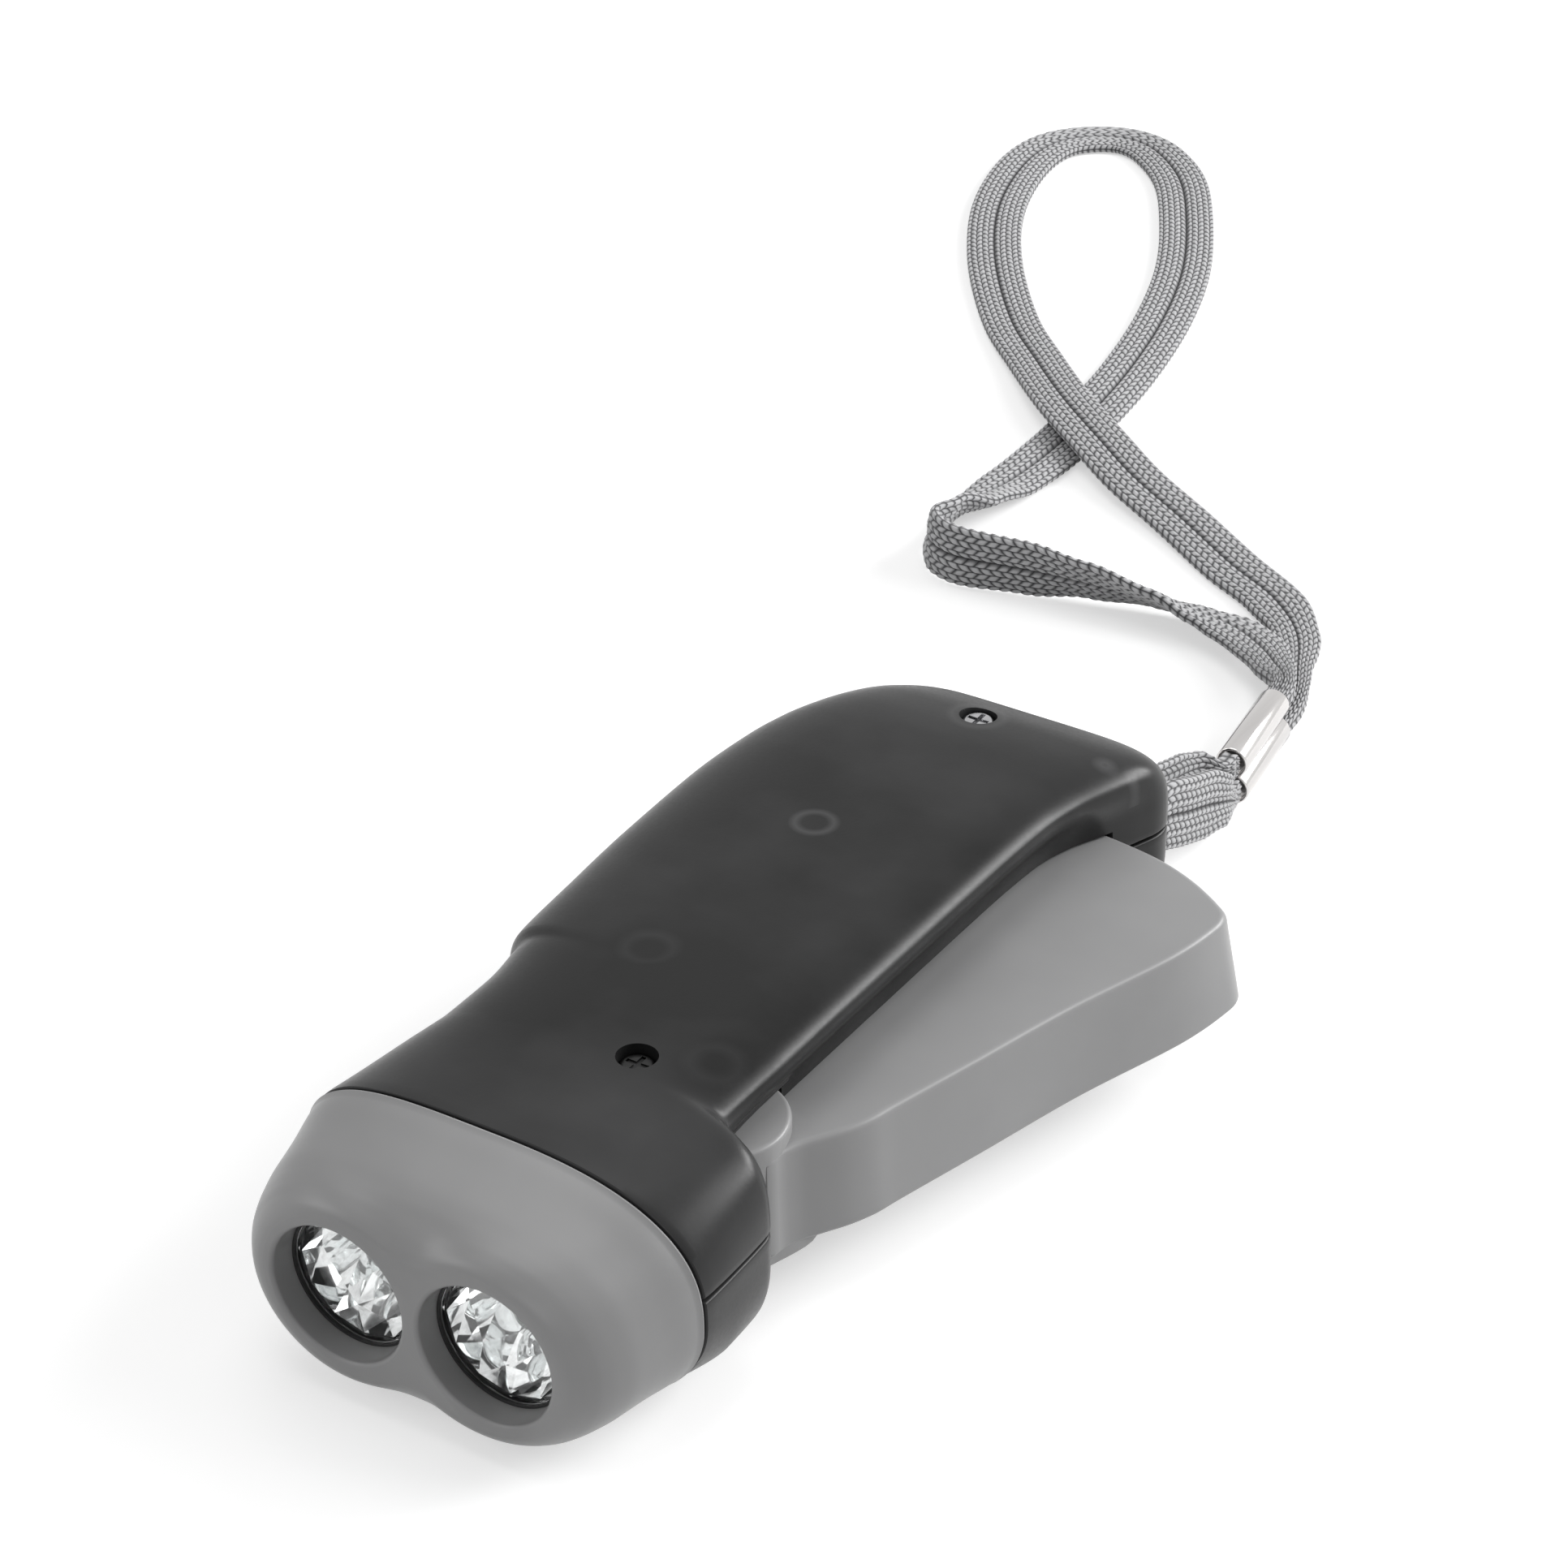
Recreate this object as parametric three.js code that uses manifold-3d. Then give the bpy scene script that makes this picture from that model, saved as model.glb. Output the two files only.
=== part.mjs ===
// A squeeze-lever dynamo torch with two lamps and a braided wrist strap.
// Millimetres, +Z up. The beam points along -Y, the strap leaves along +Y, the lever is on +X.
import * as THREE from "three";
import { mergeVertices } from "three/addons/utils/BufferGeometryUtils.js";
import Module from "manifold-3d";

const wasm = await Module();
wasm.setup();

// Case
const torchLength = 104; // lamp rim to rear end
const caseHeight = 25;
const caseWidth = 46; // left side to right side at the head
const crown = 0.5; // how far the round underside is cut flat
const wall = 1.8;
const partGap = 0.3; // between neighbouring pieces
const runningGap = 0.15; // radial, a shaft in its hole
const cutOverrun = 5;
const frontY = -torchLength / 2;
const rearY = torchLength / 2;
const bezelLength = 12.4;
const seamY = frontY + bezelLength;
const midZ = caseHeight / 2;
const partingRise = 2.8; // mid height to the parting line
const partingZ = midZ + partingRise;
const leftRoundness = 4.6; // superellipse exponents of the section: over mid height, left
const rightRoundness = 6.5; // and right
const lowRoundness = 2.6; // and under mid height
const seamLeftRoundness = 3.7; // the same at the seam
const seamRightRoundness = 2.6;
const seamLowRoundness = 2;
const topShare = 0.25; // of the case's length, over which they change
const lowShare = 0.06;
const tuckDepth = 2.4; // how far the right side is drawn in under its shoulder
const tuckFrom = 10.8; // mid height to where that begins, and to where it is full
const tuckTo = 6.5;
const caseSides = 30;
const cavitySides = 20;
const axleSides = 20;
const lampSides = 30;

// Plan outline of the case at mid height: y as a share of the way from the seam to the rear end,
// left and right x as shares of caseWidth, half height as a share of caseHeight, and how far the
// right side is drawn in over the lever as a share of tuckDepth.
const caseOutlineShares = [
  [0.002, -0.445, 0.472, 0.5, 0],
  [0.0406, -0.429, 0.47, 0.5, 0],
  [0.1144, -0.403, 0.462, 0.5, 0],
  [0.1303, -0.397, 0.44, 0.5, 0],
  [0.1462, -0.391, 0.362, 0.5, 0.5],
  [0.1576, -0.387, 0.347, 0.5, 0.8],
  [0.2336, -0.382, 0.342, 0.5, 1],
  [0.2904, -0.398, 0.342, 0.5, 1],
  [0.3063, -0.402, 0.342, 0.5, 1],
  [0.3222, -0.429, 0.342, 0.5, 1],
  [0.4323, -0.452, 0.343, 0.5, 1],
  [0.5459, -0.469, 0.344, 0.5, 1],
  [0.6764, -0.477, 0.346, 0.5, 1],
  [0.7707, -0.464, 0.352, 0.5, 0.95],
  [0.824, -0.442, 0.368, 0.5, 0.8],
  [0.8694, -0.407, 0.392, 0.497, 0.5],
  [0.9148, -0.357, 0.415, 0.483, 0.25],
  [0.941, -0.316, 0.424, 0.46, 0.1],
  [0.9614, -0.275, 0.418, 0.432, 0],
  [0.9796, -0.23, 0.395, 0.388, 0],
  [0.9932, -0.175, 0.362, 0.32, 0],
  [1.0023, -0.11, 0.315, 0.22, 0],
];

// Lamps and bezel
const lampSpacing = 15.6;
const lampX = -0.7; // middle of the pair
const lampZ = 11.6;
const boreRadius = 6.9;
const boreWall = 1.25;
const boreChamfer = 0.9;
const lobeRadius = 10.4;
const lobeHeight = 9.7;
const saddleDepth = 1.9;
const bezelSides = 42;
const bezelWallShare = 0.26; // of bezelLength, where the hollow ends behind the rim
const tongueLength = 1.6;
const tongueWall = 1.2;
const lensDepth = 3; // rim to lens
const lensThickness = 1.1;
const lensGap = 0.4;
const lensDome = 0.5;
const reflectorDepth = 7.6;
const reflectorWall = 0.8;
const ledRadius = 2.5;
const ledFlangeRadius = 2.9;
const ledFlange = 1;
const ledLength = 8.4;
const boardThickness = 1.4;
const boardWidth = 30;
const boardHeight = 15;
const boardGap = 2.2; // seam to the front of the board

// Reflector's depth at its points, and the angles of the lamp's dome
const cupShares = [0, 0.12, 0.32, 0.6, 1];
const domeAngles = [0, 30, 60, 90];

// Bezel sections from the seam to the rim: y as a share of bezelLength from the rim, how far the
// section has changed from the case's to the two lobes, its size, and how deep its waist is.
const bezelSectionShares = [
  [1, 0, 1, 0],
  [0.86, 0.17, 1, 0],
  [0.7, 0.36, 1.02, 0],
  [0.54, 0.55, 1.035, 0],
  [0.39, 0.72, 1.035, 0.03],
  [0.27, 0.85, 1.025, 0.12],
  [0.17, 0.94, 1.005, 0.3],
  [0.095, 0.99, 0.97, 0.52],
  [0.04, 1, 0.925, 0.8],
  [0.01, 1, 0.88, 0.95],
  [0, 1, 0.85, 1],
];

// Lever
const pivotX = 10.5;
const pivotY = seamY + 18.6;
const leverPinRadius = 1.5;
const hubRadius = 3.4;
const hubBlockRadius = 6.8;
const hubHeight = 13.6;
const leverAbove = 5.2; // mid height to the lever's top and underside
const leverBelow = 5.7;
const leverReach = 62;
const leverFlare = 0.042; // how much larger the outline is at the underside
const leverWall = 1.6;
const leverEdge = 1.1; // rounding of the lever's edges
const leverRearWall = 1.3;
const hubBlockFrom = -62; // degrees about the pivot
const hubBlockTo = 92;
const hubBlockStep = 11;
const hubFootTo = -12;
const hubFootHeight = 3;
const hubFootReach = 9.5; // pivot to the farthest point of the foot
const leverPinEnd = 4.2; // case bottom or top to the end of the pin
const lugAngle = 20;
const lugWidth = 2.4;
const lugInset = 0.8;
const springWire = 0.8;
const springHeight = 3;
const springLeverLeg = 52; // directions of the spring's legs, degrees
const springLeverReach = 14.5;
const springCaseLeg = 243;
const springCaseReach = 8;

// Plan outline of the lever from the pivot, open, as shares of leverReach.
const leverOutlineShares = [
  [0.032, 0.1],
  [0.05, -0.035],
  [0.106, -0.03],
  [0.112, 0.002],
  [0.122, 0.03],
  [0.14, 0.061],
  [0.162, 0.098],
  [0.179, 0.138],
  [0.19, 0.181],
  [0.232, 0.335],
  [0.285, 0.534],
  [0.353, 0.744],
  [0.369, 0.83],
  [0.371, 0.868],
  [0.362, 0.892],
  [0.34, 0.911],
  [0.28, 0.948],
  [0.219, 0.973],
  [0.152, 0.988],
  [0.09, 0.996],
  [0.038, 0.999],
  [0.032, 0.8],
  [0.032, 0.45],
];

// The hub's foot beyond its round, as shares of hubFootReach
const hubFootShares = [
  [0.8, 0.17],
  [0.84, 0.39],
  [0.77, 0.63],
  [0.6, 0.68],
  [0.22, 0.68],
];

// Gears
const coarseModule = 0.6;
const fineModule = 0.5;
const sectorTeeth = 51; // if it went all the way round
const sectorTeethBefore = 4; // teeth before and after the one in mesh at rest
const sectorTeethAfter = 2;
const sectorFlare = 0.3; // how much wider the arm is at the hub, radians
const firstPinionTeeth = 12;
const firstGearTeeth = 44;
const idlerPinionTeeth = 14;
const idlerGearTeeth = 38;
const rotorPinionTeeth = 12;
const pressureAngle = 20;
const addendumShare = 0.75; // of the module
const dedendumShare = 1.15;
const backlash = 0.12;
const firstAngle = 141.4; // directions from axle to axle, degrees
const idlerAngle = 97.8;
const rotorAngle = 74.5;
const axleRadius = 1;
const axleEnd = 2.6; // case bottom or top to the end of an axle
const bossWall = 1.3;
const sectorZ = 9.4; // undersides of the gears
const sectorThickness = 2.5;
const gearStep = 0.4; // from one gear's top to the next one's underside
const firstGearThickness = 2;
const idlerPinionHeight = 2.6;
const idlerGearThickness = 2;
const gearHubWall = 1.2;
const webDepth = 0.5;

// Dynamo
const flywheelRadius = 9;
const flywheelThickness = 3;
const flywheelZ = 3.2;
const magnetRadius = 5.5;
const magnetHeight = 5;
const magnetZ = 9.2;
const magnetSleeve = 1.2;
const stackHeight = 3;
const stackZ = 10.9;
const poleGap = 0.6;
const legWidth = 2.7;
const stackBack = 17; // rotor axis to the far face of the back bar
const backBar = 2.6;
const coilWall = 1.4;
const coilLength = 10.6;
const coilFlange = 0.3;
const coilCheek = 0.8;
const stackPostRadius = 1.4;
const stackPostInset = 2;
const stackPostSpacing = 6;

// Screws down through the top
const screwFrontX = 4.3;
const screwFrontY = seamY + 15.6;
const screwRearX = 0.1;
const screwRearY = rearY - 8.5;
const screwBossRadius = 2.7;
const screwRadius = 0.9;
const screwHeadRadius = 1.7;
const screwHeadHeight = 1.3;
const screwHeadTaper = 0.3;
const screwLength = 9;
const counterboreRadius = 2.1;
const counterboreDepth = 3.2;
const screwSeatWall = 1.4;
const driveWidth = 0.5;
const driveReach = 1.2;
const driveDepth = 0.6;

// Cells
const cellX = -6;
const cellY = seamY + 11.1;
const cellRadius = 5.8;
const cellZ = 3.6;
const cellsAbove = 4.3; // room over the stack
const cellHeight = (caseHeight - cellZ - cellsAbove) / 3 - partGap;
const cellRim = 0.7;
const contactRadius = 3.2;
const contactThickness = 0.8;
const rectifierWidth = 4.6;
const rectifierDepth = 2;
const rectifierHeight = 6;
const rectifierX = 6.5;

// Switch on the left side
const switchY = seamY + 17.6;
const switchLength = 9;
const switchHeight = 5;
const switchTravel = 3;
const switchProud = 1;
const switchInset = 4.7;
const switchNeck = 1.6; // half height
const switchSkinShare = 0.407; // outermost skin over its travel, of caseWidth

// Lanyard
const lanyardX = 13.5;
const lanyardY = rearY - 4.5;
const lanyardRadius = 1.25;
const lanyardWindowWidth = 10;
const lanyardWindowHeight = 10.4;
const bandWidth = 8;
const bandThickness = 1.5;
const bandRound = 3; // the band gathered where it enters the ferrule
const ferruleRadius = 1.8;
const ferruleLength = 14;
const ferruleX = 12.25; // middle of the lower barrel's end nearest the torch
const ferruleY = 78.35;
const ferruleTurn = 97.4; // direction of the barrels in plan, degrees
const ferruleTilt = 84; // one barrel lies up against the other
const barrelSpacing = 3.2;
const barrelMouth = 0.45;
const barrelMouthDepth = 0.8;
const floorGap = 0.02;

// Section of the band: half width and half thickness
const bandSectionShares = [
  [1, -0.5],
  [1, 0.5],
  [0.85, 1],
  [-0.85, 1],
  [-1, 0.5],
  [-1, -0.5],
  [-0.85, -1],
  [0.85, -1],
];

const radians = (degrees) => (degrees * Math.PI) / 180;

// Closed mesh to solid
function solid(geometry) {
  const plain = geometry.index ? geometry.toNonIndexed() : geometry.clone();
  plain.deleteAttribute("normal");
  plain.deleteAttribute("uv");
  const merged = mergeVertices(plain);
  const corners = merged.index.array;
  const kept = [];
  for (let i = 0; i < corners.length; i += 3) {
    const [a, b, c] = [corners[i], corners[i + 1], corners[i + 2]];
    if (a !== b && b !== c && c !== a) kept.push(a, b, c);
  }
  return new wasm.Manifold(
    new wasm.Mesh({
      numProp: 3,
      vertProperties: new Float32Array(merged.getAttribute("position").array),
      triVerts: new Uint32Array(kept),
    }),
  );
}

// Solid to named mesh
function piece(name, body, material) {
  const made = body.getMesh();
  const places = new Float32Array(made.numVert * 3);
  for (let i = 0; i < made.numVert; i += 1) {
    places.set(made.vertProperties.subarray(i * made.numProp, i * made.numProp + 3), i * 3);
  }
  const geometry = new THREE.BufferGeometry();
  geometry.setAttribute("position", new THREE.BufferAttribute(places, 3));
  geometry.setIndex(new THREE.BufferAttribute(new Uint32Array(made.triVerts), 1));
  geometry.computeVertexNormals();
  const mesh = new THREE.Mesh(geometry, material);
  mesh.name = name;
  return mesh;
}

// Upright cylinder or cone between two heights
function post(x, y, radius, fromZ, toZ, sides, topRadius = radius) {
  const geometry = new THREE.CylinderGeometry(topRadius, radius, toZ - fromZ, sides);
  geometry.rotateX(Math.PI / 2);
  geometry.translate(x, y, (fromZ + toZ) / 2);
  return solid(geometry);
}

// Cylinder or cone along Y, from the front face to the back face
function barrel(x, z, radius, fromY, toY, sides, frontRadius = radius) {
  const geometry = new THREE.CylinderGeometry(radius, frontRadius, toY - fromY, sides);
  geometry.translate(x, (fromY + toY) / 2, z);
  return solid(geometry);
}

function block(fromX, toX, fromY, toY, fromZ, toZ) {
  const geometry = new THREE.BoxGeometry(toX - fromX, toY - fromY, toZ - fromZ);
  geometry.translate((fromX + toX) / 2, (fromY + toY) / 2, (fromZ + toZ) / 2);
  return solid(geometry);
}

// Outline in plan, extruded upwards
function prism(outline, fromZ, toZ, edge = 0, scaleAt = null) {
  const shape = new THREE.Shape(outline.map(([x, y]) => new THREE.Vector2(x, y)));
  const geometry = new THREE.ExtrudeGeometry(shape, {
    depth: toZ - fromZ - 2 * edge,
    bevelEnabled: edge > 0,
    bevelThickness: edge,
    bevelSize: edge,
    bevelOffset: -edge,
    bevelSegments: 3,
  });
  geometry.translate(0, 0, fromZ + edge);
  const places = geometry.getAttribute("position");
  for (let i = 0; scaleAt && i < places.count; i += 1) {
    const scale = scaleAt(places.getZ(i));
    places.setXY(i, places.getX(i) * scale, places.getY(i) * scale);
  }
  return solid(geometry);
}

// Turned shape about the Y axis: profile points are radius and y
function turned(profile, sides) {
  const points = profile.map(([radius, y]) => new THREE.Vector2(radius, y));
  const made = solid(new THREE.LatheGeometry(points, sides));
  return made.volume() < 0 ? solid(new THREE.LatheGeometry(points.reverse(), sides)) : made;
}

// Skin over rings of equal count, closed by a fan at each end
function loft(rings) {
  const count = rings[0].length;
  const places = rings.flat();
  const triangles = [];
  for (let r = 0; r + 1 < rings.length; r += 1) {
    for (let i = 0; i < count; i += 1) {
      const a = r * count + i;
      const b = r * count + ((i + 1) % count);
      triangles.push(a, b, b + count, a, b + count, a + count);
    }
  }
  const last = (rings.length - 1) * count;
  const ends = [
    [0, rings[0], 1],
    [last, rings[rings.length - 1], -1],
  ];
  ends.forEach(([first, ring, way]) => {
    const middle = places.length;
    const total = ring.reduce((sum, p) => sum.map((v, k) => v + p[k]), [0, 0, 0]);
    places.push(total.map((v) => v / count));
    for (let i = 0; i < count; i += 1) {
      const here = first + i;
      const next = first + ((i + 1) % count);
      if (way > 0) triangles.push(middle, next, here);
      else triangles.push(middle, here, next);
    }
  });
  const geometry = new THREE.BufferGeometry();
  geometry.setAttribute("position", new THREE.Float32BufferAttribute(places.flat(), 3));
  geometry.setIndex(triangles);
  const made = solid(geometry);
  if (made.volume() >= 0) return made;
  geometry.setIndex(triangles.reverse());
  return solid(geometry);
}

const signedPower = (value, power) => Math.sign(value) * Math.abs(value) ** power;

// The section's exponent at its station and direction
function roundnessAt(yShare, angle) {
  if (Math.sin(angle) < 0) {
    const lowPart = Math.max(0, 1 - yShare / lowShare);
    return lowRoundness + (seamLowRoundness - lowRoundness) * lowPart;
  }
  const [body, seam] =
    Math.cos(angle) < 0 ? [leftRoundness, seamLeftRoundness] : [rightRoundness, seamRightRoundness];
  return body + (seam - body) * Math.max(0, 1 - yShare / topShare);
}

// How much of the tuck is reached at a distance from mid height, 0 to 1
function tuckPart(rise) {
  const part = Math.min(1, Math.max(0, (tuckFrom - rise) / (tuckFrom - tuckTo)));
  return part * part * (3 - 2 * part);
}

// One section of the case at its station, drawn in by inset on every side
function caseRing(station, inset, sides = caseSides) {
  const [yShare, leftShare, rightShare, heightShare, tuckShare] = station;
  const left = -leftShare * caseWidth - inset;
  const right = rightShare * caseWidth - inset;
  const up = heightShare * caseHeight - inset;
  const down = up + crown;
  const ring = [];
  for (let i = 0; i < sides; i += 1) {
    const angle = (2 * Math.PI * i) / sides;
    const roundness = roundnessAt(yShare, angle);
    const across = signedPower(Math.cos(angle), 2 / roundness);
    const upward = signedPower(Math.sin(angle), 2 / roundness);
    const z = midZ + upward * (upward > 0 ? up : down);
    const tuck = tuckShare * tuckDepth * tuckPart(Math.abs(z - midZ));
    const x = across > 0 ? across * right - tuck : across * left;
    ring.push([x, seamY + yShare * (rearY - seamY), z]);
  }
  return ring;
}

const halfSpace = (fromZ, toZ) =>
  block(-torchLength, torchLength, -torchLength, torchLength, fromZ, toZ);

// The case's outside, and its inside at a given depth under the skin
const caseStations = caseOutlineShares;
const caseSkin = loft(caseStations.map((station) => caseRing(station, 0))).subtract(
  halfSpace(-caseHeight, 0),
);

function caseInside(depth) {
  const rings = caseStations
    .filter(([, , , height]) => height * caseHeight > depth + wall)
    .filter(([y]) => (1 - y) * (rearY - seamY) > depth)
    .map((station) => caseRing(station, depth, cavitySides));
  const mouth = rings[0].map(([x, y, z]) => [x, y - cutOverrun, z]);
  return loft([mouth, ...rings]).subtract(halfSpace(-caseHeight, depth));
}

const cavity = caseInside(wall);
const clearCavity = caseInside(wall + partGap);

// Gear geometry
const involute = (angle) => Math.tan(angle) - angle;

// Half of a tooth's angle at a radius
function toothHalfAngle(radius, pitchRadius, teeth) {
  const baseRadius = pitchRadius * Math.cos(radians(pressureAngle));
  const here = Math.acos(Math.min(1, baseRadius / Math.max(radius, baseRadius)));
  const atPitch = Math.PI / (2 * teeth) - backlash / (2 * pitchRadius);
  return atPitch + involute(radians(pressureAngle)) - involute(here);
}

// Outline of teeth numbered from first to last, tooth 0 centred on phase
function toothOutline(teeth, size, phase, first, last, flankPoints) {
  const pitchRadius = (size * teeth) / 2;
  const root = pitchRadius - dedendumShare * size;
  const tip = pitchRadius + addendumShare * size;
  const base = Math.max(root, pitchRadius * Math.cos(radians(pressureAngle)));
  const flank = [root];
  for (let i = 0; i <= flankPoints; i += 1) {
    flank.push(base + ((tip - base) * i) / flankPoints);
  }
  const outline = [];
  for (let tooth = first; tooth <= last; tooth += 1) {
    const middle = phase + (2 * Math.PI * tooth) / teeth;
    const up = flank.map((r) => [r, middle - toothHalfAngle(r, pitchRadius, teeth)]);
    const down = flank.map((r) => [r, middle + toothHalfAngle(r, pitchRadius, teeth)]);
    outline.push(...up, ...down.reverse());
  }
  return outline;
}

const polar = (points) => points.map(([r, angle]) => [r * Math.cos(angle), r * Math.sin(angle)]);

// Phase that puts a gear in mesh: a driver's tooth faces the driven gear's gap
function meshPhase(driverTeeth, driverPhase, direction, drivenTeeth) {
  const driverTurn = (direction - driverPhase) / ((2 * Math.PI) / driverTeeth);
  return direction + Math.PI - (0.5 - driverTurn) * ((2 * Math.PI) / drivenTeeth);
}

const stepFrom = (x, y, distance, degrees) => [
  x + distance * Math.cos(radians(degrees)),
  y + distance * Math.sin(radians(degrees)),
];

const pitchSum = (size, a, b) => (size * (a + b)) / 2;
const firstDistance = pitchSum(coarseModule, sectorTeeth, firstPinionTeeth);
const [firstX, firstY] = stepFrom(pivotX, pivotY, firstDistance, firstAngle);
const idlerDistance = pitchSum(fineModule, firstGearTeeth, idlerPinionTeeth);
const [idlerX, idlerY] = stepFrom(firstX, firstY, idlerDistance, idlerAngle);
const rotorDistance = pitchSum(fineModule, idlerGearTeeth, rotorPinionTeeth);
const [rotorX, rotorY] = stepFrom(idlerX, idlerY, rotorDistance, rotorAngle);

// Heights of the train
const sectorTop = sectorZ + sectorThickness;
const firstGearZ = sectorTop + gearStep;
const firstGearTop = firstGearZ + firstGearThickness;
const idlerPinionZ = firstGearZ - partGap;
const idlerPinionTop = idlerPinionZ + idlerPinionHeight;
const idlerGearZ = idlerPinionTop + gearStep;
const idlerGearTop = idlerGearZ + idlerGearThickness;
const rotorPinionZ = idlerGearZ - partGap;
const rotorPinionTop = idlerGearTop + partGap;
const hubBottom = midZ - hubHeight / 2;
const hubTop = midZ + hubHeight / 2;
const leverBottom = midZ - leverBelow;
const leverTop = midZ + leverAbove;

const plastic = (color, roughness) =>
  new THREE.MeshStandardMaterial({ color, roughness, metalness: 0 });
const metal = (color, roughness) =>
  new THREE.MeshStandardMaterial({ color, roughness, metalness: 1 });
const smokyPlastic = plastic(0x17181a, 0.18);
const grayPlastic = plastic(0x8f9092, 0.42);
const gearPlastic = plastic(0xdedbd0, 0.5);
const boardGreen = plastic(0x1f4a2a, 0.6);
const blackPlastic = plastic(0x1a1a1b, 0.5);
const lensClear = plastic(0xe8eef0, 0.05);
const bandCloth = plastic(0xb9babb, 0.9);
const steel = metal(0xb8babd, 0.35);
const darkSteel = metal(0x6f7276, 0.5);
const mirrorMetal = metal(0xf2f2f2, 0.08);
const copper = metal(0xb06a3a, 0.4);
const magnetGray = metal(0x3c3d40, 0.6);

// Bosses for an axle, from the bottom up to one height and from the top down to another
function axleBosses(x, y, radius, lowerTo, upperFrom) {
  const sides = 20;
  const outer = radius + runningGap + bossWall;
  const lowerEnd = Math.min(lowerTo, partingZ);
  const upperStart = Math.max(upperFrom, partingZ);
  const lower = post(x, y, outer, wall - crown, lowerEnd, sides);
  const upper = post(x, y, outer, upperStart, caseHeight - wall + crown, sides);
  return [lower, upper];
}

const axles = [
  [pivotX, pivotY, leverPinRadius, hubBottom - partGap, hubTop + partGap, leverPinEnd],
  [firstX, firstY, axleRadius, sectorZ - partGap, firstGearTop + partGap, axleEnd],
  [idlerX, idlerY, axleRadius, idlerPinionZ - partGap, idlerGearTop + partGap, axleEnd],
  [rotorX, rotorY, axleRadius, flywheelZ - partGap, rotorPinionTop + partGap, axleEnd],
];

// Room for the lever in the case's side: the panel's slot and the hub's notch
function leverSlot() {
  const reach = leverReach + partGap;
  const inner = pivotX - hubRadius;
  const outer = pivotX + leverReach;
  const outline = [
    [inner, pivotY],
    [outer, pivotY],
  ];
  const steps = 12;
  const from = Math.asin(0.5);
  for (let i = 0; i <= steps; i += 1) {
    const angle = from + ((Math.PI / 2 - from) * i) / steps;
    outline.push([pivotX + reach * Math.cos(angle), pivotY + reach * Math.sin(angle)]);
  }
  outline.push([inner, pivotY + reach]);
  const panel = prism(outline, leverBottom - partGap, leverTop + partGap);
  const notchSides = 48;
  const low = hubBottom - partGap;
  const notchRadius = hubBlockRadius + partGap;
  const footRadius = hubFootReach + partGap;
  const notch = post(pivotX, pivotY, notchRadius, low, hubTop + partGap, notchSides);
  const foot = post(pivotX, pivotY, footRadius, low, low + hubFootHeight, notchSides);
  const side = block(pivotX, outer, pivotY, pivotY + reach, low, low + hubFootHeight);
  return panel.add(notch).add(foot.intersect(side));
}

function screwBoss(x, y) {
  const sides = 20;
  const head = caseHeight - counterboreDepth;
  const full = post(x, y, screwBossRadius, wall - crown, caseHeight, sides);
  const shaft = post(x, y, screwRadius + runningGap, axleEnd, caseHeight, sides);
  const sink = post(x, y, counterboreRadius, head, caseHeight + cutOverrun, sides);
  return { full, cut: shaft.add(sink) };
}

const screwPlaces = [
  [screwFrontX, screwFrontY],
  [screwRearX, screwRearY],
];

// The two posts under the stator's left leg
const leftLegX = rotorX - magnetRadius - poleGap - legWidth / 2;
const stackPosts = [0, 1].map((step) => [
  leftLegX,
  rotorY + stackBack - stackPostInset - step * stackPostSpacing,
]);

// Whole case with its bosses and openings, before it is parted
function caseBody() {
  const bosses = axles.flatMap(([x, y, radius, lower, upper]) =>
    axleBosses(x, y, radius, lower, upper),
  );
  const screws = screwPlaces.map(([x, y]) => screwBoss(x, y));
  const standing = stackPosts.map(([x, y]) =>
    post(x, y, stackPostRadius, wall - crown, stackZ - partGap, 16),
  );
  let body = caseSkin.subtract(cavity);
  const inner = [...bosses, ...screws.map((screw) => screw.full), ...standing];
  inner.forEach((boss) => {
    body = body.add(boss.intersect(caseSkin));
  });
  axles.forEach(([x, y, radius, , , end]) => {
    const from = end - partGap;
    const hole = post(x, y, radius + runningGap, from, caseHeight - from, axleSides);
    body = body.subtract(hole);
  });
  screws.forEach((screw) => {
    body = body.subtract(screw.cut);
  });
  body = body.subtract(leverSlot()).subtract(lanyardWindow()).subtract(switchWindow());
  return body;
}

function lanyardWindow() {
  return block(
    lanyardX - lanyardWindowWidth / 2,
    lanyardX + lanyardWindowWidth / 2,
    lanyardY,
    lanyardY + torchLength,
    midZ - lanyardWindowHeight / 2,
    midZ + lanyardWindowHeight / 2,
  );
}

function switchWindow() {
  return block(
    -caseWidth,
    cellX - cellRadius - partGap,
    switchY - switchLength / 2 + partGap * 3,
    switchY + switchLength / 2 - partGap * 3,
    midZ - switchNeck - partGap,
    midZ + switchNeck + partGap,
  );
}

function shells() {
  const body = caseBody();
  const upper = body.intersect(halfSpace(partingZ + partGap / 2, caseHeight * 2));
  const lower = body.intersect(halfSpace(-caseHeight, partingZ - partGap / 2));
  return [
    piece("top_shell", upper, smokyPlastic),
    piece("bottom_shell", lower, smokyPlastic),
  ];
}

// Bezel: the case's section at the seam changes into two round lobes
const bezelStation = caseOutlineShares[0];

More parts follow.
